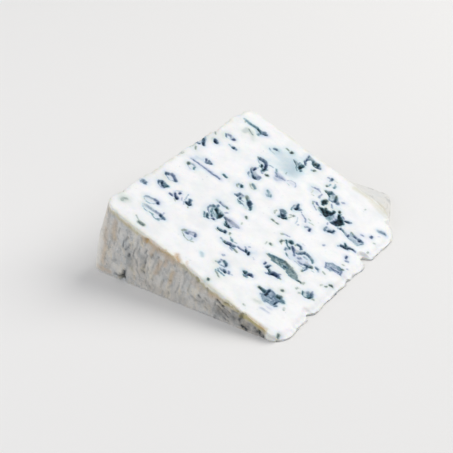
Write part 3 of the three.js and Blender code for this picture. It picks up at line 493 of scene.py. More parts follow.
    (0.5, 1, 0, 89.4, 62.6, 92.6, 63), (0.6, 1.2, 0, 89.2, 59.4, 90.4, 60.4),
    (0.35, 1.1, -1, 79.3, 70.3, 79.6, 71.2), (0.4, 1.2, 2, 92.3, 67.8, 92.8, 68),
    (0.5, 1.4, -1, 92.3, 71.4, 93, 71.7), (0.95, 1, -1, 91.2, 73, 90.8, 74.3),
    (0.3, 1.1, -1, 95.2, 67, 95.6, 67.2), (0.5, 1.1, 0, 84.4, 76.6, 84.9, 77.2),
    (1, 1.4, 0, 85.4, 77.9, 86.4, 78.4), (1, 1.8, 0, 86.8, 78.7, 88, 79.2),
    (0.9, 1, 1, 86.6, 80, 85.9, 80.9), (0.9, 1.2, 1, 87.2, 79.9, 86.6, 80.4),
    (1, 1.4, 0, 88.2, 79.6, 89, 80.3), (0.95, 1.2, 0, 89.2, 80.5, 90.2, 80.8),
    (0.6, 1.2, -1, 90.6, 80.8, 91.6, 80.7), (0.6, 1, 0, 74.6, 79.6, 74, 80.8),
    (0.55, 0.9, 0, 73.9, 81.2, 74, 82.6), (0.7, 1.1, 0, 74.6, 81, 75.6, 81.2),
    (0.95, 1.5, 0, 76, 81.4, 77.2, 82.3), (0.85, 1.2, 0, 77.4, 82.6, 77.8, 83.5),
    (0.45, 1, 0, 75.2, 79.6, 76.2, 80), (0.5, 1.1, 0, 77.8, 81.2, 78.6, 81.8),
    (1, 1.6, 1, 76.2, 88, 77, 90), (1, 1.9, 1, 77, 90, 77.3, 92.2), (1, 1.9, 1, 77.1, 92.4, 76, 94.2),
    (1, 1.7, 1, 75.8, 94.3, 74.4, 95.2), (1, 1.2, 1, 74.2, 95.4, 73.3, 96.6),
    (0.85, 1.5, 0, 74.2, 87.4, 75.6, 87.8), (0.8, 1.6, -1, 74.6, 89.6, 75.8, 90),
    (0.75, 2, -1, 74.6, 91.8, 75.6, 92.4), (0.9, 1.4, 0, 73.6, 87.6, 74.2, 88.6),
    (1, 1.4, 1, 74.2, 94, 75, 93), (0.95, 1.5, 0, 78, 95, 79.2, 96.2), (0.7, 1, 0, 79.4, 96.4, 80, 97),
    (0.6, 0.9, -1, 76.4, 96.2, 75, 97), (0.95, 1.3, 2, 72.5, 98, 72.2, 99),
    (0.4, 0.8, 1, 73.2, 97.4, 73.8, 98), (0.8, 1.6, 2, 64.6, 91.6, 65.4, 92),
    (0.75, 3.2, 1, 66.4, 91, 67.6, 90.6), (0.95, 1.8, 0, 68.6, 89.6, 69.4, 89.4),
    (0.75, 3.0, 1, 67, 92.8, 68.6, 92.6), (0.95, 1.5, 2, 67, 93.6, 66.6, 94),
    (1, 1.4, 0, 69.8, 90.2, 70.2, 92), (1, 1.6, 0, 70.5, 92.6, 70.7, 94.4),
    (0.95, 1.2, 1, 70.6, 94.8, 70.3, 96.4), (0.75, 1.2, 1, 68.4, 94, 69.4, 94.2),
    (0.5, 2.6, 1, 71.6, 88.4, 71.8, 92.6), (1, 1.2, 1, 64, 95.4, 63.6, 96.6),
    (1, 1.8, 1, 63.2, 97, 63.2, 98.2), (0.9, 1.8, 2, 63.4, 98.6, 63.6, 99.6),
    (1, 1.4, 1, 64.3, 97, 64.4, 98.4), (0.85, 1.4, 2, 60, 105.4, 60.8, 105.6),
    (0.95, 1.4, 1, 61.2, 105.4, 62.2, 105.4), (0.8, 1.2, 1, 61.6, 106.4, 62.4, 107.6),
    (0.5, 1.2, 0, 63, 107.6, 64, 107.4), (0.65, 1.1, 0, 62.6, 104.4, 64, 103),
    (0.9, 1.3, 0, 64.4, 102.8, 65.2, 102.6), (1, 1.7, 0, 65.8, 103.2, 66.5, 103.4),
    (0.85, 1.3, 0, 66.4, 104.4, 66.2, 105.8), (0.75, 1.2, 2, 66, 106.2, 65.3, 107.4),
    (0.8, 1.4, 0, 67.4, 104, 68.4, 103.7), (0.5, 0.9, 0, 64.4, 101.6, 66, 101.8),
    (0.45, 1.4, -1, 69.7, 106, 70.4, 106.6), (0.5, 1, 0, 68.2, 102.2, 69, 103),
    (0.35, 0.8, 0, 53.6, 101.4, 54.6, 102), (0.6, 1, -1, 55, 102.3, 56.4, 103),
    (0.45, 0.9, -1, 56.6, 102.9, 58.4, 102.2), (0.5, 0.9, -1, 59.6, 101.6, 59.6, 99),
    (0.45, 1, 0, 59.9, 98.8, 60, 98), (0.25, 0.7, 2, 55.8, 97.4, 55.6, 100),
    (0.25, 0.9, 2, 56.6, 96.4, 57.6, 96.8), (0.75, 1.3, 0, 57.5, 115.1, 57.4, 116.3),
    (0.4, 1, -1, 56.4, 115.4, 55.6, 115.4), (0.35, 1, 0, 57.5, 113.6, 57.5, 114.6),
    (0.25, 1, 2, 58.8, 116.2, 60.4, 116.4), (0.7, 1.2, 2, 58.3, 108.7, 58.4, 109.6),
    (0.45, 0.9, 1, 58.6, 110, 58.8, 112), (0.55, 1.2, 1, 61.4, 111.4, 61.2, 112.4),
    (0.35, 0.8, 1, 60.9, 112.8, 60.5, 114.2), (0.4, 0.8, -1, 64, 88.8, 62.6, 89.6),
    (0.45, 0.8, -1, 62.4, 89.8, 61, 90.8), (0.45, 0.9, 2, 60.7, 91, 60.1, 92.6),
    (0.5, 0.9, -1, 60.3, 93.2, 61.2, 93.6), (0.75, 0.9, -1, 61.4, 93.6, 62.2, 92.9),
    (0.5, 0.8, -1, 62.6, 92.8, 64, 92), (0.5, 0.9, -1, 68.2, 97.8, 66.8, 99.8),
    (0.45, 0.8, -1, 73.2, 84.4, 72.8, 86), (0.3, 1.2, -1, 67.4, 87.4, 68, 88),
    (0.7, 1.2, 0, 78.8, 87.4, 79.2, 88.2), (0.6, 1, 1, 80, 88.4, 81, 87.8),
    (0.5, 0.9, 0, 81.4, 87.4, 83, 86.6), (0.75, 1.2, -1, 83.8, 87, 84, 88),
    (0.5, 1.2, 0, 84.6, 86.6, 86, 86.8), (0.45, 1, 0, 86.2, 87.2, 88, 86.8),
    (0.4, 1, 1, 88.4, 86, 90.2, 85.6), (0.45, 1, 1, 90.3, 86, 90.6, 88),
    (0.6, 1.1, 0, 90.8, 88.4, 91.5, 89.6), (0.5, 0.9, 2, 83.8, 90.7, 85.6, 90.4),
    (0.85, 1.2, -1, 86, 90.1, 87.2, 90.1), (0.6, 1, 0, 87.4, 90, 88.8, 90.3),
    (0.9, 1.3, -1, 89.2, 89.6, 89.7, 90), (0.6, 1, 0, 90, 90.4, 91.2, 90.2),
    (0.4, 1, 0, 78.2, 86.6, 77.6, 87.6), (0.25, 1, 2, 79.8, 112.2, 79.8, 113.1),
    (0.55, 1.3, -1, 87.8, 94.2, 88.8, 94.4), (0.8, 1.1, -1, 92, 97, 92, 98),
    (0.3, 0.9, 2, 94.6, 94.8, 95.4, 95.4), (0.35, 1, 2, 96.1, 86.2, 96.1, 87),
    (0.25, 0.8, -1, 94, 101, 94.8, 102), (0.42, 2.4, 0, 92.6, 104.9, 93.8, 105.6),
    (0.55, 1.8, 0, 94.2, 105.9, 95.2, 106.4), (0.4, 1.2, 0, 94.6, 105, 95, 105.2),
    (0.3, 1.1, 2, 89.4, 17.4, 89, 18.4), (0.85, 1.1, 2, 82.7, 26.3, 83, 26.8),
    (0.3, 1.1, 2, 76, 4, 76.6, 4), (0.8, 1.1, 2, 96.3, 2.2, 95.9, 3.1), (0.9, 1.4, 2, 74.9, 18.8, 76, 18.8),
    (0.75, 1.6, 1, 76.6, 19, 77.6, 19.4), (1, 1.5, 0, 78.9, 18.4, 79.1, 20),
    (1, 1.1, 0, 78.8, 20.2, 78.9, 22), (0.75, 1, 0, 79.6, 22, 81.6, 22), (0.7, 1, 0, 79.8, 18.8, 82, 18.9),
    (0.6, 1.3, 0, 80.4, 15.6, 81.8, 16), (0.65, 1.1, 1, 80.6, 16.8, 82, 17),
    (0.5, 1, 0, 79.4, 14.6, 81, 14), (0.5, 1, 0, 77.6, 16.4, 79, 15.2),
    (0.9, 1.3, 0, 84.5, 17.4, 84.6, 18.8), (0.7, 1.2, -1, 84.6, 19.4, 85.4, 20.4),
    (0.75, 1.6, 2, 83, 21.9, 84.4, 22.6), (0.6, 1.4, 1, 85, 22, 86.8, 21.2),
    (0.65, 1.3, 0, 85.4, 15.6, 86, 16.6), (0.5, 1, 0, 82.6, 15, 84.4, 15.2),
    (0.6, 1.2, -1, 82.6, 17, 83.4, 19.6), (0.55, 1.2, 1, 86.2, 20.4, 87.4, 20.8),
    (0.8, 1, 1, 89.3, 34.8, 89.9, 33.6), (0.8, 1, 1, 90.2, 33.2, 91.6, 33.1),
    (0.9, 1.1, 1, 91.8, 33.3, 92.8, 34.2), (1, 1.5, 1, 93, 34.6, 93.3, 36),
    (0.85, 1.2, 0, 93.2, 36.4, 92.8, 37.6), (0.5, 0.8, -1, 92.6, 38, 92.4, 39),
    (0.5, 1.6, 0, 91, 36.6, 91.8, 36.8), (0.7, 1.4, 1, 92, 35.4, 92.2, 36.6),
    (0.4, 1.2, 2, 94.6, 34.6, 95.2, 35), (0.3, 1.4, 2, 88.6, 32.2, 89, 32.8),
    (0.25, 0.7, 2, 87.4, 35, 86, 34.6), (0.35, 1.1, 2, 86.4, 33.6, 86.6, 34.4),
    (0.35, 1.2, 2, 86.4, 39, 86.5, 40.2), (0.8, 0.8, 2, 65.4, 40.5, 67, 40.1),
    (0.7, 0.8, 1, 68.8, 39, 72, 39.4), (0.65, 0.8, 1, 72.2, 39.3, 76, 39),
    (0.8, 1, 1, 77.8, 38.6, 79.8, 38.2), (0.85, 1.2, 1, 80, 37.9, 82, 38),
    (0.9, 1.2, 1, 82.2, 38.1, 84.2, 38.6), (0.75, 1, 2, 84.4, 38.7, 85.6, 38.7),
    (1, 1.3, 0, 74.7, 41.9, 75.5, 42.1), (0.7, 1, 1, 66, 41.2, 68.6, 42.2),
    (0.65, 0.9, 1, 69, 42.6, 72.4, 43.8), (0.6, 0.9, 2, 73, 44, 78, 43.4),
)

# Soft stains where mould shows through the paste, in the same way.
STAINS = (
    (0.5, 2.6, -1, 75.4, 88.4, 74.4, 90.4, 73.2, 92.4), (0.5, 3, 1, 7, 112.4, 11, 112.2, 15, 111),
    (0.5, 3, 0, 15, 110.4, 16.4, 112), (0.22, 5, 0, 70.5, 90, 72, 94), (0.2, 4, 2, 66, 98, 68, 97),
    (0.14, 8, 2, 4, 8, 7, 9), (0.12, 4, 2, 6.5, 38.4, 7.5, 38.4), (0.2, 2.6, 2, 15, 57.2, 15, 58),
    (0.14, 3.4, 0, 12, 60, 16, 60.4), (0.12, 2.6, 2, 6.8, 64, 6.6, 66.8),
    (0.28, 2.6, 2, 3.8, 82.6, 3.8, 84), (0.16, 3.6, 2, 4.2, 91, 4.6, 93.4), (0.1, 3, 2, 5.4, 88.6, 6, 90),
    (0.32, 4.5, 2, 9.4, 103.6, 10.6, 105.4), (0.14, 4, -1, 18, 110.6, 19, 113),
    (0.1, 3, 2, 17.4, 101, 17, 103), (0.6, 2.2, 1, 46, 13.8, 47.2, 12.4),
    (0.2, 3.4, -1, 36, 19.4, 37, 18.4), (0.16, 4, 0, 35.5, 17, 37, 17), (0.5, 2.6, -1, 41, 42.8, 43, 42.4),
    (0.3, 2.8, -1, 44, 41.8, 46, 42.4), (0.1, 5, 0, 38.5, 33, 41, 36), (0.2, 2.6, -1, 42.6, 51.6, 44, 50.6),
    (0.2, 3, 0, 31.4, 47.6, 34, 47.4), (0.25, 3, 1, 38, 58, 42, 60), (0.3, 2, 2, 36, 72.8, 34.8, 73.8),
    (0.35, 3, 0, 42.4, 76, 44, 75.4), (0.35, 3.4, 0, 30.6, 79.8, 32.6, 79.2),
    (0.25, 3.4, 0, 29, 92.8, 27.4, 93.4), (0.7, 3, -1, 39.4, 88.8, 40, 91.4),
    (0.7, 2.8, -1, 37.8, 92.4, 40.6, 91.8), (0.35, 2.8, -1, 45.2, 93.2, 47.2, 93.8),
    (0.25, 6, 1, 30, 98, 44, 99), (0.42, 9, 1, 29, 107, 41, 102), (0.3, 8, 1, 36, 112, 42, 106),
    (0.14, 3, 0, 39, 115, 39, 119), (0.18, 5, 2, 53.6, 12.4, 55, 13.4), (0.22, 4, 0, 58.4, 12, 58, 16),
    (0.3, 2.4, 0, 61.2, 34.4, 61.6, 36.2), (0.16, 3, 0, 47, 27.6, 52, 27.4),
    (0.12, 4, -1, 52, 33.4, 56, 34.6), (0.2, 2.4, -1, 56.4, 64.8, 57.4, 65.8),
    (0.25, 2.6, 1, 57.6, 77.4, 58.2, 79), (0.16, 4, -1, 62, 77, 66, 77),
    (0.3, 2.6, 1, 63.2, 105, 64.4, 105.6), (0.3, 3.4, -1, 76, 52.6, 79, 52),
    (0.28, 3, 0, 79, 56, 80.6, 55.4), (0.16, 5, 0, 74, 50, 79, 50), (0.4, 4.4, 0, 79.4, 18.4, 84, 18.6),
    (0.4, 3.2, 0, 80, 15.6, 84, 16), (0.4, 3.2, -1, 80, 20.4, 84, 20.6),
    (0.35, 2.4, 1, 85.8, 21, 86.4, 20.2), (0.45, 3, 2, 78, 10.8, 80, 11.4), (0.5, 1.6, -1, 82, 9, 83, 9.6),
    (0.5, 1.5, -1, 83.4, 9.8, 86, 10), (0.42, 1.6, -1, 83.6, 12.4, 85.6, 12.8),
    (0.12, 4, 2, 80, 24.4, 82, 24.6), (0.35, 4, -1, 90, 61.4, 92.8, 62.4),
    (0.3, 3.4, 0, 86, 87.2, 89.6, 87.6), (0.16, 4, -1, 88, 93, 90, 95), (0.12, 4, 2, 60, 8, 64, 9),
    (0.2, 3, 0, 91, 36.8, 92, 37.4), (0.14, 3, 1, 72.6, 101, 69, 100), (0.14, 5, 2, 71, 42, 80, 40.4),
    (0.12, 5, 2, 66, 121, 76, 121.6, 88, 119), (0.5, 2.2, -1, 6, 61.8, 14, 62.2, 23, 62.4),
    (0.35, 2.6, 2, 10, 104, 9, 107, 12, 107.4, 15.6, 103), (0.35, 3.2, 0, 7, 65, 9.6, 66.4),
    (0.4, 2.4, 2, 3.6, 9.2, 4.8, 10.6), (0.6, 3, 0, 92.8, 105, 94.8, 106.4),
)

# Marks on the near rind as pairs of along (from the thick end) and height: how strong, width, and path.
DARK_MARKS = (
    (0.8, 0.8, 19.4, 23.4, 17.6, 20, 17, 17.6), (0.8, 0.8, 20.4, 20, 19.6, 18, 18.4, 16.8),
    (1.0, 1.2, 20.6, 14.2, 20.9, 15.6), (0.8, 0.9, 23.6, 19, 22.6, 14.6), (0.5, 1, 22, 12.4, 21, 9),
    (0.8, 1, 19.4, 6.6, 18.6, 4.4), (0.4, 0.8, 24.8, 23, 23.8, 18),
    (0.7, 1.2, 29.6, 15.6, 29, 13, 28.2, 10.6), (0.6, 1, 30.2, 17.6, 29.4, 16.4),
    (0.7, 0.8, 29.8, 20.8, 29, 18.8), (0.5, 0.8, 25.8, 20, 25, 17), (0.5, 0.7, 15.4, 26.6, 14.6, 23.6),
    (0.8, 1, 27.6, 9.6, 28.8, 9.2), (0.7, 1.1, 32.6, 19.4, 32.2, 17.8), (0.5, 0.9, 34, 9.6, 33.4, 7),
    (0.5, 0.8, 13.8, 10, 12.4, 8.4), (0.4, 1.1, 35, 18, 33.6, 13.4, 32.4, 10),
    (0.7, 0.8, 47, 9.6, 46.4, 7.6, 45.6, 5), (0.5, 0.8, 31, 12.4, 30.4, 9.6),
    (0.4, 0.9, 39, 19, 37.4, 14, 36.4, 11), (0.4, 0.9, 42.2, 18.6, 40.8, 13),
    (0.35, 0.9, 45.4, 17, 44.2, 12), (0.35, 0.8, 35, 22.6, 33.8, 18), (0.35, 0.8, 50, 14, 49, 9.4),
    (0.35, 0.8, 53, 13, 52, 9), (0.45, 0.8, 10, 18, 9, 14), (0.4, 0.8, 13, 21, 12.4, 17),
    (0.45, 0.8, 39, 9, 37.6, 5), (0.4, 0.8, 43.4, 9, 42, 5.4), (0.4, 1, 25, 9, 26.4, 6),
    (0.4, 1, 24, 13.4, 25.4, 11), (0.8, 1.3, 57.5, 8.8, 58.2, 8), (0.6, 1.2, 60.8, 8, 61.4, 7.4),
    (0.6, 0.8, 55.8, 5.4, 58.2, 5.6), (0.8, 1.4, 57, 15.8, 56.4, 15.2), (0.7, 1, 61.4, 14, 61.8, 13),
    (0.5, 0.8, 53.6, 7, 56, 6), (1.0, 1.5, 66.8, 9.4, 68.2, 8.8, 69.6, 8),
    (1.0, 1.4, 67.2, 6.8, 69.6, 5.2, 72.4, 3.4), (0.9, 1, 68.6, 7.4, 71.4, 6.4, 73.4, 5.4),
    (1.0, 1.2, 70.6, 10.4, 73.4, 9.6), (1.0, 1.2, 74.6, 9.4, 77.4, 9.2), (0.8, 1, 74, 7.2, 76.8, 7.4),
    (1.0, 1.3, 80.2, 8.4, 83.6, 7.8), (0.9, 1.1, 86.4, 6.8, 90.4, 5.6), (1.0, 2.4, 79, 7, 78.4, 3.4),
    (1.0, 2, 79.6, 2.2, 82, 1.2), (0.8, 1, 83, 4.2, 84.4, 3.2), (1.0, 2.3, 88.4, 2.6, 90.2, 1.4),
    (0.9, 1.5, 86, 3.4, 87.4, 2.4), (0.8, 0.9, 74.6, 4.6, 76.4, 3.2), (0.7, 0.8, 70, 2.6, 73, 1.4),
    (0.6, 0.8, 66.4, 1.6, 66.2, 0.4), (0.6, 0.9, 61, 3.8, 61.8, 3), (0.35, 0.8, 22.6, 5.4, 24.4, 4),
    (0.4, 0.8, 31.8, 3.2, 32.8, 1.8), (0.5, 0.8, 7.7, 33, 7.9, 32), (0.8, 1.2, 93.2, 5.2, 93.4, 4.8),
    (0.6, 4.8, 68, 5.4, 78, 3.6), (0.55, 4, 80, 3.4, 90, 2), (0.3, 4, 20, 17, 22, 10),
    (0.3, 3.4, 28, 16, 28.4, 9), (0.25, 4, 58, 6, 64, 5), (0.2, 3, 33, 3, 40, 3),
    (0.2, 3.6, 45, 4.6, 50, 3), (1.0, 1.8, 18.4, 5.4, 18, 1.4), (0.8, 0.9, 13.4, 2.2, 17.6, 2),
    (0.4, 0.8, 11.6, 32.2, 12, 31),
)
TAN_MARKS = (
    (0.9, 1.5, 29.4, 25.8, 29.8, 25), (0.45, 2.4, 27.4, 26.6, 28.6, 25.6, 31, 25.8),
    (0.45, 4.2, 33, 24.4, 38, 23.4, 43, 21.6), (0.7, 1.4, 46, 24, 46.4, 21.6), (0.22, 2, 7.8, 24, 6.8, 6),
    (0.3, 2.4, 12.6, 29, 12, 20), (0.4, 2, 37.4, 18, 35, 11), (0.35, 1.8, 44, 15, 42.2, 9),
    (0.2, 3, 54, 14, 59, 12), (0.35, 2.6, 62.6, 11.6, 67.6, 11), (0.35, 1.8, 40.4, 21, 39.4, 17),
    (0.3, 1.6, 32.4, 22.6, 31.8, 19.4), (0.3, 1.8, 3.4, 2.4, 11, 1.8), (0.2, 2.4, 18, 31, 20.4, 30.4),
    (0.6, 1.4, 88.4, 5.4, 90.4, 4.6),
)
OLIVE_MARKS = (
    (0.85, 2.8, 80.8, 7, 85, 6.4, 91, 4.6), (0.6, 1.6, 70, 9.6, 77, 8.6),
    (0.45, 1.8, 62.4, 13.2, 66.4, 11.8, 70, 10.6), (0.5, 1.4, 70, 11.2, 76, 9.8, 84, 7.6, 91, 5.4),
    (0.6, 1.4, 9, 34, 14, 32.4, 19, 30.2, 25, 27.8), (0.4, 1.6, 40, 23.6, 44, 22),
    (0.45, 1.8, 48.6, 20, 53, 17.8, 57, 16), (0.35, 2.4, 50.6, 19, 53, 17.6), (0.4, 2, 78, 6, 79.4, 7.4),
    (0.25, 2, 22, 8.4, 22.6, 7.4),
)
# Pale marks are the rind's paler patches; the widest, up the thick end corner, is a painted highlight.
PALE_MARKS_AND_CORNER_HIGHLIGHT = (
    (0.75, 4, 13.8, 6, 15.6, 4.8), (0.4, 2, 12.4, 3, 10, 3), (0.35, 2.4, 14.6, 30, 15.6, 22),
    (1.0, 7, 2, 34, 1, 3), (0.35, 5, 34, 5, 60, 3), (0.4, 6, 32, 12, 36, 8), (0.3, 4, 52, 12, 60, 8),
    (0.6, 1.4, 84, 2.6, 86, 1.6), (0.3, 1.4, 34.8, 21, 34.2, 12), (0.3, 1.4, 38, 20, 37.2, 12),
    (0.3, 1.4, 41.8, 19, 41, 11), (0.25, 1.4, 45, 17, 44.4, 9), (0.3, 3, 24, 26, 23, 20),
    (0.25, 3, 44, 5, 58, 3.4), (0.3, 2, 90.6, 3, 92, 2.6), (0.3, 3, 3.6, 34, 3, 22),
    (0.2, 1.2, 48.6, 15, 48, 9), (0.2, 1.2, 51.8, 13.6, 51, 8),
)
# Where rind shows on the upper face because the edge has broken away, as slope and across.
EDGE_OLIVE = ((0.3, 2.4, 68, 121.4, 78, 122.6, 92, 120.4), (0.22, 2, 78, 121, 90, 118))
EDGE_TAN = ((0.8, 2, 42.8, 0.2, 41, 1.4, 40, 2.6), (0.5, 0.9, 47.4, 0.2, 46, 1.6, 45.4, 3),
            (0.55, 1.4, 80, 0.1, 84, 0.3, 88, 0.6, 90.4, 0.9))

# Pieces broken out of the near rind at its foot and top edge: along, height, width, height and depth.
CHIPS = ((17.4, 1.6, 3.4, 4.6, 3.0), (29.6, 26, 3.4, 1.8, 1.1), (46.2, 23.6, 1.8, 3.6, 1.2),
         (56.6, 16.4, 2.6, 1.6, 0.9), (80.6, 8.2, 3.6, 1.2, 0.6), (38.6, 26.6, 8, 1.6, 0.5))


# ---- random fields: their height, the size of their lumps, their seed, and their octaves if not three ----

# Each octave is this much finer than the one before, and its share this much fainter.
OCTAVE_FINER = 2.1
OCTAVE_FAINTER = 0.55

EDGE_CHIPS, EDGE_CRUMBS, RIM_NICKS = (0.8, 4.0, 11), (0.6, 1.6, 15), (1.0, 2.4, 16)
THIN_CRUMBS, LOOSE_CRUMBS, BROKEN_CURD = (0.35, 2.6, 5), (1.0, 1.7, 201), (1.6, 3.0, 121)
CURD, FINE_CURD = (0.16, 4.5, 71), (0.08, 1.4, 81)
WOBBLE_DOWN, WOBBLE_ACROSS = (0.42, 2.2, 21, 4), (0.42, 2.2, 31, 4)
LINE_SWELLS, MOULD_PATCHES = (0.45, 2.0, 41), (0.5, 1.3, 51)
WRINKLES, FLUTES, FINE_WRINKLES, PITS = (0.25, 7.0, 91), (1.0, 2.6, 101), (0.16, 1.8, 181), (1.0, 2.0, 111)
CRACKS, CRACKED_PARTS = (1.0, 7.0, 231), (1.0, 11.0, 241)
BLOTCHES, BLOTCHED_PARTS = (1.0, 3.6, 251), (1.0, 14.0, 261)
MARK_SWELLS, MARK_BREAKS = (0.5, 1.6, 131), (0.5, 1.4, 191)
MARK_SHIFT_ALONG, MARK_SHIFT_UP, TAN_EDGE_SHIFT = (0.7, 2.2, 141), (0.7, 2.2, 151), (0.3, 1.5, 161)
LAP_EDGE, OLIVE_PARTS = (1.1, 2.0, 171, 4), (1.2, 5.0, 211)
RIM_TAN_PATCHES, NEAR_END_EDGE = (1.0, 7.0, 271, 4), (4.0, 5.0, 281)


# ---- shape functions ----

def lattice(i, j, k, seed):
    """A repeatable random value from 0 to 1 for each whole-numbered corner."""
    mixed = (i * 374761393 + j * 668265263 + k * 1440662683 + seed * 974634777) & 0xFFFFFFFF
    mixed = ((mixed ^ (mixed >> 13)) * 1274126177) & 0xFFFFFFFF
    mixed = ((mixed ^ (mixed >> 15)) * 2246822519) & 0xFFFFFFFF
    return ((mixed ^ (mixed >> 16)) & 0xFFFF) / 0xFFFF


def noise(points, size, seed):
    """Smooth random values from -1 to 1 with lumps `size` across."""
    scaled = points / size
    corner = np.floor(scaled).astype(np.int64)
    share = scaled - corner
    share = share * share * (3 - 2 * share)
    total = 0.0
    for step in product((0, 1), repeat=3):
        weights = [np.where(step[axis], share[:, axis], 1 - share[:, axis]) for axis in range(3)]
        total = total + weights[0] * weights[1] * weights[2] * lattice(*(corner + step).T, seed)
    return 2 * total - 1


def rough(points, height, size, seed, octaves=3):
    """Noise with finer and fainter lumps on the coarse ones, from -height to height."""
    total, strength, full = 0.0, 1.0, 0.0
    for octave in range(octaves):
        total = total + strength * noise(points, size / OCTAVE_FINER ** octave, seed + octave)
        full += strength
        strength *= OCTAVE_FAINTER
    return height * (total / full)


def waves(p, q, size):
    """Uneven waves from -1 to 1, about `size` long, whose odd ratios keep them from repeating."""
    a = 2 * np.pi * p / size
    b = 2 * np.pi * q / size
    return (np.sin(a + 1.7 * np.sin(0.61 * b + 0.4)) + np.sin(1.31 * b + 1.3 * np.sin(0.83 * a))
            + np.sin(0.57 * (a - b) + 2.1)) / 3


def ease(value, start, end):
    """Smooth step from 0 at `start` to 1 at `end`."""
    share = np.clip((value - start) / (end - start), 0, 1)
    return share * share * (3 - 2 * share)


def round_corner(first, second, radius):
    """Moves points, given by their distances inside two faces, so that the faces meet in a curve."""
    inside = (first < radius) & (second < radius)
    a = np.where(inside, radius - first, 1.0)
    b = np.where(inside, radius - second, 1.0)
    shrink = np.maximum(a, b) / np.hypot(a, b)
    return np.where(inside, radius - a * shrink, first), np.where(inside, radius - b * shrink, second)


def thickness(along):
    """Height of the wedge at a share of the way from the thick end to the thin edge."""
    return THIN_EDGE + WHEEL_RADIUS * (1 - along) * math.sin(SECTOR_ANGLE)


def foot_offset(along, height):
    """How far the slumped far side stands out beyond its top edge."""
    widest = FOOT_REACH_THICK + (FOOT_REACH - FOOT_REACH_THICK) * ease(along, 0, FOOT_FULL)
    reach = widest * (1 - ease(along, FOOT_WANES, FOOT_END))
    rise = np.clip((height - FOOT_LIP) / np.maximum(thickness(along) - FOOT_LIP, 0.1), 0, 1)
    return reach * (1 - rise) ** FOOT_CURVE


def crumbled(across):
    """How far the thin edge has crumbled back."""
    back = RAGGED_EDGE * (0.5 + 0.5 * waves(across, 0, RAGGED_SIZE))
    for centre, width, depth in NOTCHES:
        back = back + depth * (1 - ease(np.abs(across - centre), width * NOTCH_FLOOR, width / 2))
    line = np.stack([across, across * 0, across * 0], 1)
    return back + rough(line, *THIN_CRUMBS)


def wedge_points(along, across, up):
    """Points of the wedge for shares along the radius, across the wheel and up through the sector."""
    thick, near = along < 0.5, across < 0.5
    corner = np.where(thick, RIM_ROUND, np.where(near, TIP_ROUND, CORNER_ROUND - CORNER_SPREAD * (1 - up)))
    from_end, from_side = round_corner(
        WHEEL_RADIUS * np.where(thick, along, 1 - along),
        WHEEL_HEIGHT * np.where(near, across, 1 - across), corner)
    from_middle = np.where(thick, WHEEL_RADIUS - from_end, from_end)
    y = np.where(near, from_side, WHEEL_HEIGHT - from_side)

    thin_share = ease(along, THIN_FROM, 1)
    rind_share = 1 - ease(along, 0, RIND_FADE)
    angle = SECTOR_ANGLE * up
    radius = from_middle + thin_share * crumbled(y)
    rind_dent = rind_share * RIND_WAVE * waves(y, WHEEL_RADIUS * angle, RIND_DENT_SIZE)
    x = WHEEL_RADIUS - (radius + rind_dent) * np.cos(angle)
    z = radius * np.sin(angle) + THIN_EDGE * up

    side_dent = RIND_WAVE * ease(up, 0, DENTS_FULL) * waves(x, z, RIND_DENT_SIZE)
    y = y + (1 - ease(across, 0, RIND_FADE)) * side_dent
    y = y + ease(across, FAR_FROM, 1) * (foot_offset(along, z) + side_dent)
    z = z + (1 - THIN_CALM * thin_share) * ease(up, TOP_FROM, 1) * CUT_WAVE * waves(x, y, CUT_WAVE_SIZE)
    z = z * (1 - EDGE_FEATHER * ease(along, *FEATHER_SPAN))
    return np.stack([x, y, z], 1)


def slope_of(x):
    """Distance down the upper cut face from the thick edge."""
    return WHEEL_RADIUS - (WHEEL_RADIUS - x) / math.cos(SECTOR_ANGLE)


# ---- drawing on the surface ----

def path_distance(p, q, path):
    """Distance from each spot to a path of straight pieces."""
    nearest = np.full(len(p), 1e9)
    for (p0, q0), (p1, q1) in zip(path[:-1], path[1:]):
        run, rise = p1 - p0, q1 - q0
        length = max(run * run + rise * rise, 1e-9)
        share = np.clip(((p - p0) * run + (q - q0) * rise) / length, 0, 1)
        nearest = np.minimum(nearest, np.hypot(p - p0 - share * run, q - q0 - share * rise))
    return nearest


def smooth_outline(corners, steps=4):
    """A closed curve through the corners."""
    corners = np.array(corners, float)
    before, after, later = np.roll(corners, 1, 0), np.roll(corners, -1, 0), np.roll(corners, -2, 0)
    curve = []
    for step in range(steps):
        t = step / steps
        curve.append(0.5 * (2 * corners + (after - before) * t
                            + (2 * before - 5 * corners + 4 * after - later) * t * t
                            + (3 * corners - before - 3 * after + later) * t ** 3))
    return np.stack(curve, 1).reshape(-1, 2)


def inside_outline(p, q, outline):
    """Distance inside a closed outline, negative outside it."""
    closed = np.vstack([outline, outline[:1]])
    distance = path_distance(p, q, closed)
    odd = np.zeros(len(p), bool)
    for (p0, q0), (p1, q1) in zip(closed[:-1], closed[1:]):
        if q0 != q1:
            crosses = (q0 > q) != (q1 > q)
            odd ^= crosses & (p < p0 + (q - q0) * (p1 - p0) / (q1 - q0))
    return np.where(odd, distance, -distance)


def pairs(values):
    """A flat row of numbers as a list of points."""
    return list(zip(values[0::2], values[1::2]))


def close_to(p, q, path, margin):
    """Indices of the spots that lie within a margin of a path."""
    low, high = np.min(path, 0) - margin, np.max(path, 0) + margin
    return np.flatnonzero((p > low[0]) & (p < high[0]) & (q > low[1]) & (q < high[1]))


def draw_marks(p, q, rows, swell):
    """How strongly rows of strength, width and path cover each spot; wide ones have soft edges."""
    cover = np.zeros(len(p))
    for strength, width, *path in rows:
        path = pairs(path)
        near = close_to(p, q, path, width + MARK_MARGIN)
        inward = width / 2 * swell[near] - path_distance(p[near], q[near], path)
        soft = MARK_SOFT + MARK_SOFT_WIDTH * width
        cover[near] = np.maximum(cover[near], strength * ease(inward, -soft, soft))
    return cover


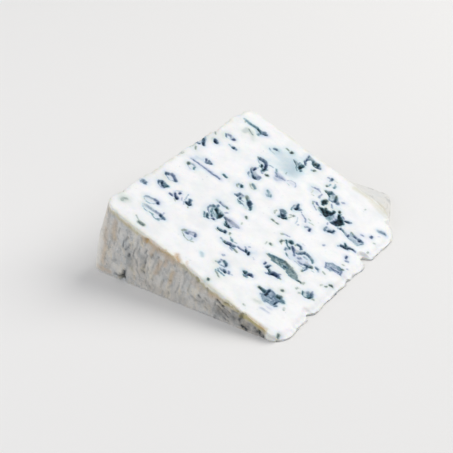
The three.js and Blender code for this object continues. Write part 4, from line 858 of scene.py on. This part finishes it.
def mould_field(p, q, surface):
    """Mould and holes of the upper cut face, where p runs down its slope and q across it: how dark the mould
    is, with painted shade along the edges of holes and painted shadow on the deepest floors, and its hue,
    how deep the holes are, the tinted halo round them, the stains, and how far each spot lies inside the
    nearest hole or line."""
    count = len(p)
    p = p + rough(surface, *WOBBLE_DOWN)
    q = q + rough(surface, *WOBBLE_ACROSS)
    swell = LINE_FULLNESS + rough(surface, *LINE_SWELLS)
    patchy = MOULD_FULLNESS + rough(surface, *MOULD_PATCHES)
    dark, hue, weight = np.zeros(count), np.zeros(count), np.full(count, 1e-6)
    depth, halo, reach = np.zeros(count), np.zeros(count), np.full(count, -20.0)

    def lay(near, amount, tint):
        """Lays mould, with its painted shade, on some spots; where it overlaps, the darkest shows and the
        hues average.
        """
        dark[near] = np.maximum(dark[near], amount)
        hue[near] += amount ** 2 * tint
        weight[near] += amount ** 2

    for full_depth, floor, rim, tint, *outline in HOLES:
        outline = smooth_outline(pairs(outline))
        near = close_to(p, q, outline, HOLE_MARGIN)
        inward = inside_outline(p[near], q[near], outline)
        room = HOLE_ROOM * thickness(np.mean(outline[:, 0]) / WHEEL_RADIUS)
        bowl = 1 - (1 - np.clip((inward - HOLE_LIP) / HOLE_WALL, 0, 1)) ** 2
        depth[near] = np.maximum(depth[near], min(HOLE_DEPTH * full_depth, room) * bowl)
        lay(near, FLOOR_MOULD_AND_SHADOW * floor * patchy[near] * ease(inward, *FLOOR_SPAN), tint)
        edge = ease(inward, *RIM_OUTSIDE) * ease(inward, *RIM_INSIDE)
        lay(near, RIM_MOULD_AND_SHADE * rim * patchy[near] * edge, tint)
        halo[near] = np.maximum(halo[near], HOLE_HALO * ease(inward, *HOLE_HALO_SPAN))
        reach[near] = np.maximum(reach[near], inward)
    for strength, width, tint, *path in LINES:
        path = pairs(path)
        near = close_to(p, q, path, width + LINE_MARGIN)
        inward = width / 2 * swell[near] - path_distance(p[near], q[near], path)
        soft = LINE_SOFT + LINE_SOFT_WIDTH * width
        strength = LINE_MOULD_AND_SHADE * strength
        lay(near, strength * ease(inward, -soft, soft) * (LINE_EVEN + LINE_PATCHY * patchy[near]), tint)
        halo[near] = np.maximum(halo[near], strength * ease(inward, *LINE_HALO_SPAN))
        depth[near] += LINE_DEPTH * strength ** 2 * ease(inward, *FLOOR_SPAN) * (depth[near] < DEEP_ENOUGH)
        reach[near] = np.maximum(reach[near], inward)
    stain = np.zeros(count)
    for strength, width, tint, *path in STAINS:
        path = pairs(path)
        near = close_to(p, q, path, STAIN_MARGIN * width)
        amount = strength * np.exp(-(path_distance(p[near], q[near], path) / width * STAIN_FALL) ** 2)
        stain[near] = 1 - (1 - stain[near]) * (1 - amount)
        hue[near] += amount ** 2 * tint
        weight[near] += amount ** 2
    return dark, hue / weight, depth, halo, stain, reach


# ---- modelling ----

def select_only(bm, pick, kind):
    """Selects just the edges or faces that `pick` accepts."""
    for part in (*bm.verts, *bm.edges, *bm.faces):
        part.select = False
    for part in getattr(bm, kind):
        if pick(part):
            part.select_set(True)


def split(mesh, pick, kind, cuts, **settings):
    """Subdivides the edges or faces that `pick` accepts."""
    select_only(bmesh.from_edit_mesh(mesh), pick, kind)
    bmesh.update_edit_mesh(mesh)
    bpy.ops.mesh.subdivide(number_cuts=cuts, **settings)


def mouldy_faces(mesh):
    """The faces of the upper cut face that carry mould or lie beside it."""
    bm = bmesh.from_edit_mesh(mesh)
    bm.faces.ensure_lookup_table()
    centres = np.array([face.calc_center_median() for face in bm.faces]) + 0.5
    p, q = WHEEL_RADIUS * centres[:, 0], WHEEL_HEIGHT * centres[:, 1]
    surface = np.stack([p, q, p * 0], 1)
    reach = mould_field(p, q, surface)[-1]
    return set(np.flatnonzero((centres[:, 2] > 1 - ON_FACE) & (reach > -MOULD_BORDER)).tolist())


def strip_block():
    """A unit block cut into strips, finest where mould lines the upper cut face."""
    bpy.ops.object.select_all(action="DESELECT")
    bpy.ops.mesh.primitive_cube_add(size=1)
    block = bpy.context.object
    bpy.ops.object.mode_set(mode="EDIT")
    mesh = block.data
    bpy.ops.mesh.select_mode(type="EDGE")
    for axis, strips in enumerate((STRIPS_ALONG, STRIPS_ACROSS, STRIPS_UP)):
        split(mesh, lambda e: abs((e.verts[0].co - e.verts[1].co).normalized()[axis]) > 0.9, "edges",
              strips - 1, quadcorner="STRAIGHT_CUT")
    bpy.ops.mesh.select_mode(type="FACE")
    split(mesh, lambda f: f.normal.y < -0.9, "faces", NEAR_RIND_SPLITS)
    split(mesh, lambda f: f.normal.y > 0.9 or f.normal.x < -0.9, "faces", FAR_RIND_SPLITS)
    split(mesh, lambda f: f.normal.z > 0.9, "faces", CUT_FACE_SPLITS)
    mouldy = mouldy_faces(mesh)
    split(mesh, lambda f: f.index in mouldy, "faces", MOULD_SPLITS)
    bpy.ops.object.mode_set(mode="OBJECT")
    return block


def worn_shares(block_points):
    """The block's points as shares, with every edge of the block worn round and chipped here and there."""
    along, across, up = block_points.T
    deep = thickness(along)
    spots = np.stack([WHEEL_RADIUS * along, WHEEL_HEIGHT * across, 0 * along], 1)
    chip = np.clip(rough(spots, *EDGE_CHIPS) + rough(spots, *EDGE_CRUMBS), 0, 1)
    nick = ease(along, RIND_FADE, 0) * np.clip(rough(spots, *RIM_NICKS) + 0.1, 0, 1)
    upper = np.minimum(UPPER_WEAR + UPPER_CHIPS * chip + UPPER_NICKS * nick, UPPER_WEAR_SHARE * deep)
    lower = np.minimum(LOWER_WEAR + LOWER_CHIPS * chip, LOWER_WEAR_SHARE * deep)
    for edge_up, radius in ((True, upper), (False, lower)):
        inward = deep * ((1 - up) if edge_up else up)
        for from_start in (True, False):
            share = across if from_start else 1 - across
            side, inward = round_corner(WHEEL_HEIGHT * share, inward, radius)
            across = side / WHEEL_HEIGHT if from_start else 1 - side / WHEEL_HEIGHT
            share = along if from_start else 1 - along
            end, inward = round_corner(WHEEL_RADIUS * share, inward, radius)
            along = end / WHEEL_RADIUS if from_start else 1 - end / WHEEL_RADIUS
        up = 1 - inward / deep if edge_up else inward / deep
    return along, across, up


def read_vertices(mesh, what):
    """One vector of each vertex, such as its place or normal, as an array."""
    values = np.empty(len(mesh.vertices) * 3)
    mesh.vertices.foreach_get(what, values)
    return values.reshape(-1, 3)


def place_points(mesh, points, centre):
    """Writes the points into the mesh, in metres and in the part's own frame."""
    moved = points - np.array([centre[0], centre[1], 0.0])
    low, high = np.array(cad_low) / MM, np.array(cad_high) / MM
    mesh.vertices.foreach_set("co", (np.clip(moved, low, high) * MM).ravel())
    mesh.update()


def model_wedge():
    """The wedge as one dense mesh, with its holes, worn edges and pitted rind."""
    wedge = strip_block()
    wedge.name = wedge.data.name = "blue_cheese_wedge"
    mesh = wedge.data
    block_points = read_vertices(mesh, "co") + 0.5
    on_rim, on_near, on_base = (block_points < ON_FACE).T
    on_thin, on_far, on_top = (block_points > 1 - ON_FACE).T
    rind = ~on_top & ~on_base & ~on_thin

    along, across, up = worn_shares(block_points)
    points = wedge_points(along, across, up)
    centre = (points.min(0) + points.max(0)) / 2
    place_points(mesh, points, centre)
    normals = read_vertices(mesh, "normal")
    y = points[:, 1]
    slope = slope_of(points[:, 0])
    below = thickness(np.clip(points[:, 0] / WHEEL_RADIUS, 0, 1)) * (1 - block_points[:, 2])

    # the upper cut face: sunk holes and a slightly crumbly paste
    dark, hue, depth, halo, stain, _ = mould_field(slope, y, points)
    cut_normal = np.array([math.sin(SECTOR_ANGLE), 0.0, math.cos(SECTOR_ANGLE)])
    curd = rough(points, *CURD) + rough(points, *FINE_CURD)
    sunk = np.minimum(depth, HOLE_LIMIT * thickness(np.clip(slope / WHEEL_RADIUS, 0, THIN_LIMIT)))
    points[on_top] += (curd - sunk)[on_top, None] * cut_normal

    # the rind: fluted, dented and pitted
    x, z = points[:, 0].copy(), points[:, 2].copy()
    leaning = np.stack([x - FLUTE_LEAN * z, y, FLUTE_STRETCH * z], 1)
    fluted = FLUTE_LEAST + FLUTE_MORE * ease(x, *FLUTES_RISE) * ease(x, *FLUTES_FALL)
    flute = fluted * rough(leaning, *FLUTES)
    wrinkle = rough(points, *WRINKLES) + FLUTE_RELIEF * flute + rough(points, *FINE_WRINKLES)
    pits = np.clip(rough(points * PIT_STRETCH, *PITS) - PIT_START, 0, 1) * PIT_DEPTH
    cracks = np.clip(1 - np.abs(rough(points * CRACK_STRETCH, *CRACKS)) / CRACK_WIDTH, 0, 1)
    cracks = cracks * ease(rough(points, *CRACKED_PARTS), *CRACKED_SPAN)
    blotches = ease(rough(points, *BLOTCHES), *BLOTCH_SPAN)
    blotches = blotches * ease(rough(points, *BLOTCHED_PARTS), *BLOTCHED_SPAN)
    weathered = np.maximum(CRACK_DARK * cracks, BLOTCH_DARK * blotches)
    weathered = weathered * (on_rim + FAR_WEATHERED * (on_far & ~on_rim))

    # the drawn marks, whose paths wander and whose widths swell
    swell = 1 + rough(points, *MARK_SWELLS)
    warp_x, warp_z = x + rough(points, *MARK_SHIFT_ALONG), z + rough(points, *MARK_SHIFT_UP)
    broken = MARK_FULLNESS + rough(points, *MARK_BREAKS)
    dark_marks = np.where(on_near, draw_marks(warp_x, warp_z, DARK_MARKS, swell), weathered) * broken
    tan = draw_marks(warp_x, warp_z, TAN_MARKS, swell) * (on_near | (on_top & (y < TAN_OVER_EDGE)))
    olive = draw_marks(warp_x, warp_z, OLIVE_MARKS, swell) * on_near
    # painted highlight: the pale marks reach onto the rim's near end, so the thick end corner is painted
    # lighter
    lit_near_end = NEAR_END_HIGHLIGHT * on_rim * ease(y + rough(points, *NEAR_END_EDGE), *NEAR_END_SPAN)
    pale = draw_marks(warp_x, warp_z, PALE_MARKS_AND_CORNER_HIGHLIGHT, swell) * np.maximum(on_near, lit_near_end)
    edge_tan = draw_marks(slope + rough(points, *TAN_EDGE_SHIFT), y, EDGE_TAN, swell) * on_top
    edge_olive = draw_marks(slope, y, EDGE_OLIVE, swell) * on_top
    chipped = np.zeros(len(points))
    for chip_x, chip_z, width, height, chip_depth in CHIPS:
        spread = np.hypot((warp_x - chip_x) / width * 2, (warp_z - chip_z) / height * 2)
        chipped = np.maximum(chipped, chip_depth * ease(spread, *CHIP_SPAN) * (y < CHIPS_WITHIN))

    fade = ease(np.minimum(below, z), 0, RELIEF_FADE)
    relief = wrinkle - pits - RIND_INSET - MARK_DEPTH * dark_marks
    points[rind] += (relief * fade)[rind, None] * normals[rind]
    points[:, 1] += chipped * on_near
    points[on_top, 2] -= (TAN_DEPTH * edge_tan)[on_top]
    crumbs = np.clip(CRUMB_START + rough(points, *LOOSE_CRUMBS), 0, 1) * ease(along, *CRUMB_SPAN)
    points[:, 0] -= CRUMB_DEPTH * crumbs * ~on_base
    place_points(mesh, points, centre)

    # where the rind shows: below the lap of white paste and short of the broken thin edge
    broken_paste = ease(points[:, 0] + rough(points, *BROKEN_CURD), *RIND_ENDS)
    lap = np.where(on_near, np.interp(x, LAP_ALONG, LAP_DEPTH), FAR_LAP)
    under_lap = below + rough(points, *LAP_EDGE) - lap
    skin = ease(under_lap, *SKIN_SPAN) * ease(z, *SKIN_FOOT)
    border = np.exp(-((under_lap - BORDER_BELOW) / BORDER_WIDTH) ** 2)
    border = border * np.clip(BORDER_LEAST + rough(points, *OLIVE_PARTS), 0, 1)
    olive = np.maximum(olive, border * (BORDER_NEAR * on_near + BORDER_FAR * on_far))
    rim_tan = RIM_TAN * on_rim * ease(rough(points, *RIM_TAN_PATCHES), *RIM_TAN_SPAN)
    tan = np.maximum(tan, rim_tan * ease(y, *RIM_TAN_RISE))
    far_edge = np.where(points[:, 0] < FAR_EDGE_ENDS, WHEEL_HEIGHT - y, NOWHERE_NEAR)
    from_rind = np.minimum(np.minimum(y, slope), far_edge)
    # painted shade: the rind's pits, chips and flute bottoms are darkened in the colour
    hollow_shade = np.maximum(np.maximum(pits, CHIP_SHADE * chipped), -FLUTE_SHADE * flute - FLUTE_SHADE_FROM)
    # the mould attribute carries the mould with the painted shade of hole edges and painted shadow of deep
    # floors
    for name, values in (
            ("mould", dark * on_top), ("mould_hue", np.clip(hue, VIOLET, GREEN)),
            ("mould_halo", halo * on_top), ("stain", stain * on_top), ("below_cut", below * ~on_top),
            ("from_rind", from_rind * (on_top | on_base)), ("pit", hollow_shade * rind),
            ("rind", rind * skin * (1 - broken_paste)), ("rind_dark", dark_marks),
            ("rind_tan", np.maximum(tan, edge_tan)), ("rind_olive", np.maximum(olive, edge_olive)),
            ("rind_pale_and_highlight", pale), ("far_side", ease(block_points[:, 1], *FAR_SIDE_SPAN) * ~on_top),
            ("base", on_base)):
        attribute = mesh.attributes.new(name, "FLOAT", "POINT")
        attribute.data.foreach_set("value", np.asarray(values, np.float32))

    bpy.ops.object.select_all(action="DESELECT")
    wedge.select_set(True)
    bpy.context.view_layer.objects.active = wedge
    bpy.ops.object.shade_smooth()
    return wedge


# ---- materials ----

# Mould from a faint bloom to deep black, at these shares, for each hue from violet to green, and the tint
# that each hue leaves in the paste.
# The black end also serves as painted shadow on the floors of the deepest holes.
MOULD_STOPS = (0.08, 0.3, 0.5, 0.7, 0.85, 1.0)
MOULD_COLOURS = (
    ("#DDE4EC", "#B0BBCF", "#7A8CA8", "#435A7A", "#1B304C", "#051226"),
    ("#DBE6ED", "#AABCCB", "#70899F", "#3C5970", "#173248", "#041424"),
    ("#D7E6E9", "#A1BAC4", "#678A97", "#355863", "#13323C", "#03141C"),
    ("#DEE5E1", "#AFBBB6", "#7A8C8A", "#475C5E", "#20363A", "#08181C"),
)
TINTS = ("#CDD6E8", "#C9DAE8", "#C6DEE6", "#D0DAD2")

# Random fields of the finish: the size of their lumps in mm, detail, roughness, the noise values where they
# start and are full, and their least and most. The finest are drawn coarser than real powder and dust, so
# that they show.
SPECKLES = {
    "waxy_patches": (9.0, 3.0, 0.5, 0.35, 0.75, 0.0, 1.0),
    "curd_mottle": (2.6, 4.0, 0.6, 0.5, 0.75, 0.0, 0.5),
    "curd_specks": (1.7, 2.0, 0.5, 0.68, 0.78, 0.0, 0.5),
    "edge_patches": (5.0, 2.0, 0.5, 0.3, 0.65, 0.0, 1.0),
    "tint_patches": (2.2, 3.0, 0.5, 0.25, 0.65, 0.7, 1.5),
    "base_mould": (6.0, 3.0, 0.55, 0.58, 0.68, 0.0, 1.0),
    "base_specks": (2.2, 2.0, 0.5, 0.3, 0.6, 0.2, 1.0),
    "cool_patches": (16.0, 3.0, 0.5, 0.35, 0.65, 0.0, 1.0),
    "grey_streaks": (2.4, 3.0, 0.55, 0.46, 0.66, 0.0, 0.5),
    "cream_streaks": (3.4, 3.0, 0.5, 0.5, 0.7, 0.0, 0.55),
    "grey_mottle": (2.1, 3.0, 0.6, 0.5, 0.68, 0.0, 0.45),
    "blue_specks": (1.4, 3.0, 0.65, 0.6, 0.72, 0.0, 0.6),
    "dust": (0.9, 3.0, 0.65, 0.5, 0.75, 0.0, 0.5),
    "rind_stains": (6.0, 2.0, 0.5, 0.45, 0.65, 0.0, 1.0),
}
# Steps on the mesh's attributes: the values where they start and are full, and their most.
STEPS = {
    "near_rind": ("from_rind", 3.0, 0.2, 0.8), "far_paste": ("far_side", 0.2, 0.9, 1.0),
    # the hollows step is painted shade in the rind's pits, chips and flute bottoms
    "hollows": ("pit", 0.1, 0.6, 0.6), "below_edge": ("below_cut", 4.0, 1.0, 0.35),
    "strong_stain": ("stain", 0.2, 0.7, 0.75), "bare_tan": ("rind_tan", 0.3, 0.8, 1.0),
}
# Layers of the paste and of the rind, each with its colour, laid one over another.
PASTE = "#F5F5F5"
PASTE_LAYERS = (("waxy_patches", "#EAECED"), ("curd_mottle", "#E7EBED"), ("curd_specks", "#C3CBD2"),
                ("under_rind", "#E4E5D8"), ("far_paste", "#ECECEB"))
RIND = "#D4CEC5"
RIND_LAYERS = (("cool_patches", "#C6C8C8"), ("grey_streaks", "#9D9E9D"), ("cream_streaks", "#E2D5BA"),
               ("grey_mottle", "#A3ABAD"), ("blue_specks", "#7E898D"), ("dust", "#EDECE9"),
               # hollows: painted shade in the rind's pits, chips and flute bottoms
               ("hollows", "#6A7272"), ("stained_edge", "#C7B48C"), ("far_rind", "#E2E2DF"),
               # pale: the rind's paler patches, with a painted highlight up the thick end corner
               ("pale", "#E9E6DE"), ("dark", "#2A343B"))
# The sockets of a Mix node that mixes colours.
SHARE, UNDER, OVER, MIXED = 0, 6, 7, 2


def linear(code):
    """An sRGB hex colour as linear RGBA."""
    parts = [int(code[i:i + 2], 16) / 255 for i in (1, 3, 5)]
    return (*(p / 12.92 if p <= 0.04045 else ((p + 0.055) / 1.055) ** 2.4 for p in parts), 1.0)


def per_mm(size):
    """Scale of a texture on Object coordinates, in metres, whose features are `size` mm across."""
    return 1 / (size * MM)


def node(tree, kind, inputs, output=0, **settings):
    """Adds a node with its settings and gives one of its outputs; an input is a value or an output."""
    made = tree.nodes.new("ShaderNode" + kind)
    for name, value in settings.items():
        setattr(made, name, value)
    for key, value in inputs.items():
        if isinstance(value, bpy.types.NodeSocket):
            tree.links.new(value, made.inputs[key])
        else:
            made.inputs[key].default_value = value
    return made.outputs[output] if made.outputs else None


def cheese_material():
    """Soft blue cheese. The fresh cut is moist, waxy paste, nearly white; the mould that lines its holes is
    matt powder; the natural rind is dry, mottled and dusty."""
    material = bpy.data.materials.new("cut_blue_cheese_and_natural_rind")
    material.use_nodes = True
    tree = material.node_tree
    tree.nodes.clear()
    place = node(tree, "TexCoord", {}, "Object")
    upright = node(tree, "Mapping", {
        "Vector": place, "Rotation": (0.0, -0.32, 0.0), "Scale": (1.0, 0.8, 0.4)})
    field = {name: node(tree, "Attribute", {}, "Fac", attribute_name=name) for name in (
        "mould", "mould_hue", "mould_halo", "stain", "below_cut", "from_rind", "pit", "rind", "rind_dark",
        "rind_tan", "rind_olive", "rind_pale_and_highlight", "far_side", "base")}
    lumps, share = {}, {}
    for name, (size, detail, roughness, low, high, least, most) in SPECKLES.items():
        lumps[name] = node(tree, "TexNoise", {
            "Vector": upright if name.endswith("streaks") else place, "Scale": per_mm(size),
            "Detail": detail, "Roughness": roughness})
        share[name] = node(tree, "MapRange", {
            "Value": lumps[name], "From Min": low, "From Max": high, "To Min": least, "To Max": most},
            interpolation_type="SMOOTHSTEP")
    for name, (source, low, high, most) in STEPS.items():
        share[name] = node(tree, "MapRange", {
            "Value": field[source], "From Min": low, "From Max": high, "To Max": most},
            interpolation_type="SMOOTHSTEP")

    # the paste is greyer and yellower close under the rind; the rind's marks break up in its dust
    breaks = node(tree, "Math", {0: lumps["dust"], 1: 1.2, 2: 0.4}, operation="MULTIPLY_ADD")
    for name, first, second in (
            ("under_rind", share["near_rind"], share["edge_patches"]),
            ("stained_edge", share["below_edge"], share["rind_stains"]),
            ("far_rind", field["far_side"], 0.75), ("pale", field["rind_pale_and_highlight"], 0.9),
            ("dark", field["rind_dark"], breaks), ("olive", field["rind_olive"], breaks),
            ("tan", field["rind_tan"], breaks)):
        share[name] = node(tree, "Math", {0: first, 1: second}, operation="MULTIPLY", use_clamp=True)
    finish = {}
    for name, base, layers in (("paste", PASTE, PASTE_LAYERS), ("rind", RIND, RIND_LAYERS)):
        finish[name] = linear(base)
        for layer, code in layers:
            finish[name] = node(tree, "Mix", {
                SHARE: share[layer], UNDER: finish[name], OVER: linear(code)}, MIXED, data_type="RGBA")

    # mould: a dark line where a hole's wall falls away, partly mould and partly painted shade of that edge,
    # and powdery blue-grey inside
    powder = node(tree, "TexNoise", {
        "Vector": place, "Scale": per_mm(0.9), "Detail": 3.0, "Roughness": 0.6})
    grains = node(tree, "Math", {0: powder, 1: 0.5, 2: -0.25}, operation="MULTIPLY_ADD")
    patches = node(tree, "Math", {0: share["base_mould"], 1: share["base_specks"]}, operation="MULTIPLY")
    under = node(tree, "Math", {0: field["base"], 1: patches}, operation="MULTIPLY")
    mould = node(tree, "Math", {0: field["mould"], 1: under}, operation="MAXIMUM")
    grainy = node(tree, "MapRange", {"Value": mould, "From Min": 0.02, "From Max": 0.35},
                  interpolation_type="SMOOTHSTEP")
    shown = node(tree, "Math", {0: grains, 1: grainy, 2: mould}, operation="MULTIPLY_ADD", use_clamp=True)
    mould_colour = tint = None
    for step, (codes, tint_code) in enumerate(zip(MOULD_COLOURS, TINTS)):
        ramp = node(tree, "ValToRGB", {"Fac": shown})
        stops = ramp.node.color_ramp.elements
        while len(stops) < len(codes):
            stops.new(0.5)
        for stop, position, code in zip(stops, MOULD_STOPS, codes):
            stop.position = position
            stop.color = linear(code)
        if step == 0:
            mould_colour, tint = ramp, linear(tint_code)
            continue
        towards = node(tree, "MapRange", {
            "Value": field["mould_hue"], "From Min": VIOLET + step - 1.0, "From Max": VIOLET + step},
            interpolation_type="SMOOTHSTEP")
        mould_colour = node(tree, "Mix", {
            SHARE: towards, UNDER: mould_colour, OVER: ramp}, MIXED, data_type="RGBA")
        tint = node(tree, "Mix", {
            SHARE: towards, UNDER: tint, OVER: linear(tint_code)}, MIXED, data_type="RGBA")
    deep_tint = node(tree, "Mix", {
        SHARE: 0.5, UNDER: tint, OVER: linear("#7F90A4")}, MIXED, data_type="RGBA")
    stained = node(tree, "Math", {0: field["stain"], 1: share["tint_patches"]}, operation="MULTIPLY")
    bloom = node(tree, "Math", {0: field["mould_halo"], 1: 0.75, 2: stained},
                 operation="MULTIPLY_ADD", use_clamp=True)
    closest = node(tree, "Math", {0: field["mould_halo"], 1: 3.0}, operation="POWER")
    closest = node(tree, "Math", {0: closest, 1: 0.5}, operation="MULTIPLY")
    covered = node(tree, "MapRange", {"Value": shown, "From Min": 0.04, "From Max": 0.24},
                   interpolation_type="SMOOTHSTEP")
    colour = finish["paste"]
    for amount, over in (
            (bloom, tint), (share["strong_stain"], deep_tint), (closest, deep_tint), (covered, mould_colour),
            (field["rind"], finish["rind"]), (share["olive"], linear("#B9AE76")),
            (share["tan"], linear("#C49F6A"))):
        colour = node(tree, "Mix", {SHARE: amount, UNDER: colour, OVER: over}, MIXED, data_type="RGBA")

    # mould and rind are dry and dull; the paste is a little moist, and light goes into it
    dry = node(tree, "Math", {0: field["rind"], 1: share["bare_tan"]}, operation="MAXIMUM")
    dusty = node(tree, "Math", {0: covered, 1: dry}, operation="MAXIMUM")
    roughness = node(tree, "Math", {0: dusty, 1: 0.42, 2: 0.42}, operation="MULTIPLY_ADD")
    translucence = node(tree, "Math", {0: dusty, 1: -0.5, 2: 0.55}, operation="MULTIPLY_ADD")
    grain = node(tree, "TexNoise", {"Vector": place, "Scale": per_mm(0.8), "Detail": 4.0, "Roughness": 0.6})
    relief = node(tree, "Bump", {"Height": grain, "Strength": 0.35, "Distance": 0.25 * MM})
    surface = node(tree, "BsdfPrincipled", {
        "Base Color": colour, "Roughness": roughness, "IOR": 1.45, "Normal": relief,
        "Subsurface Weight": translucence, "Subsurface Radius": (1.0, 0.8, 0.6),
        "Subsurface Scale": 1.2 * MM})
    node(tree, "OutputMaterial", {"Surface": surface})
    return material


def floor_material():
    """Matt pale board paint, with no gloss to draw the eye from the cheese."""
    material = bpy.data.materials.new("pale_matt_floor")
    material.use_nodes = True
    shader = material.node_tree.nodes["Principled BSDF"]
    shader.inputs["Base Color"].default_value = linear("#EDECEA")
    shader.inputs["Roughness"].default_value = 0.8
    return material


# ---- stage ----

# The camera looks at a spot on the floor near the thick end. The spot is in the wheel's own millimetres,
# from its near thick corner, and the frame shift is the middle of the part from that corner.
LOOK_AT = (29.25, 69.4, 0.0)
FRAME_SHIFT = (50.0, 72.0)
CAMERA_DISTANCE = 649.0
CAMERA_AZIMUTH = math.radians(29.57)
CAMERA_ELEVATION = math.radians(30.44)
CAMERA_ROLL = math.radians(4.47)
FOCAL_PIXELS = 1350.0
FRAME_PIXELS = 453.0
SENSOR_WIDTH = 36.0

# Name, place, width, watts and colour of the two soft lights, which both face the wedge.
LIGHTS = (("window", (0.6, 1.05, 1.3), 1.7, 23.6, "#FFFDFA"),
          ("fill", (-0.5, -0.6, 0.5), 0.8, 2.4, "#F8F9FF"))
LIT_SPOT = Vector((0.0, 0.0, 0.01))
SKY_COLOUR, SKY_STRENGTH = "#F4F6FA", 0.46


def set_camera():
    """A camera above the near side, turned a little about its own axis."""
    turn, tip, roll = CAMERA_AZIMUTH, CAMERA_ELEVATION, CAMERA_ROLL
    ahead = Vector((-math.sin(turn) * math.cos(tip), math.cos(turn) * math.cos(tip), -math.sin(tip)))
    level = Vector((math.cos(turn), math.sin(turn), 0))
    upright = level.cross(ahead)
    right = math.cos(roll) * level + math.sin(roll) * upright
    above = math.cos(roll) * upright - math.sin(roll) * level
    data = bpy.data.cameras.new("camera")
    data.sensor_width = SENSOR_WIDTH
    data.lens = FOCAL_PIXELS * SENSOR_WIDTH / FRAME_PIXELS
    data.clip_start = 0.01
    camera = bpy.data.objects.new("camera", data)
    bpy.context.collection.objects.link(camera)
    middle = Vector(((cad_low.x + cad_high.x) / 2, (cad_low.y + cad_high.y) / 2, 0))
    spot = middle + (Vector(LOOK_AT) - Vector((*FRAME_SHIFT, 0))) * MM
    place = spot - ahead * CAMERA_DISTANCE * MM
    camera.matrix_world = Matrix.Translation(place) @ Matrix((right, above, -ahead)).transposed().to_4x4()
    bpy.context.scene.camera = camera


def make_stage():
    """A pale floor, a wide window light from the far side, a faint fill and an even sky."""
    bpy.ops.object.select_all(action="DESELECT")
    bpy.ops.mesh.primitive_plane_add(size=6)
    floor = bpy.context.object
    floor.name = "floor"
    floor.data.materials.append(floor_material())
    world = bpy.data.worlds.new("studio")
    world.use_nodes = True
    sky = world.node_tree.nodes["Background"]
    sky.inputs["Color"].default_value = linear(SKY_COLOUR)
    sky.inputs["Strength"].default_value = SKY_STRENGTH
    bpy.context.scene.world = world
    for name, place, size, power, colour in LIGHTS:
        data = bpy.data.lights.new(name, "AREA")
        data.shape = "DISK"
        data.size = size
        data.energy = power
        data.color = linear(colour)[:3]
        light = bpy.data.objects.new(name, data)
        bpy.context.collection.objects.link(light)
        light.location = place
        light.rotation_mode = "QUATERNION"
        light.rotation_quaternion = (LIT_SPOT - Vector(place)).to_track_quat("-Z", "Y")
    bpy.context.scene.view_settings.view_transform = "Standard"


# ---- the part ----

cheese = model_wedge()
cheese.data.materials.clear()
cheese.data.materials.append(cheese_material())
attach(cheese, "root")
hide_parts("cheese_wedge")

make_stage()
set_camera()
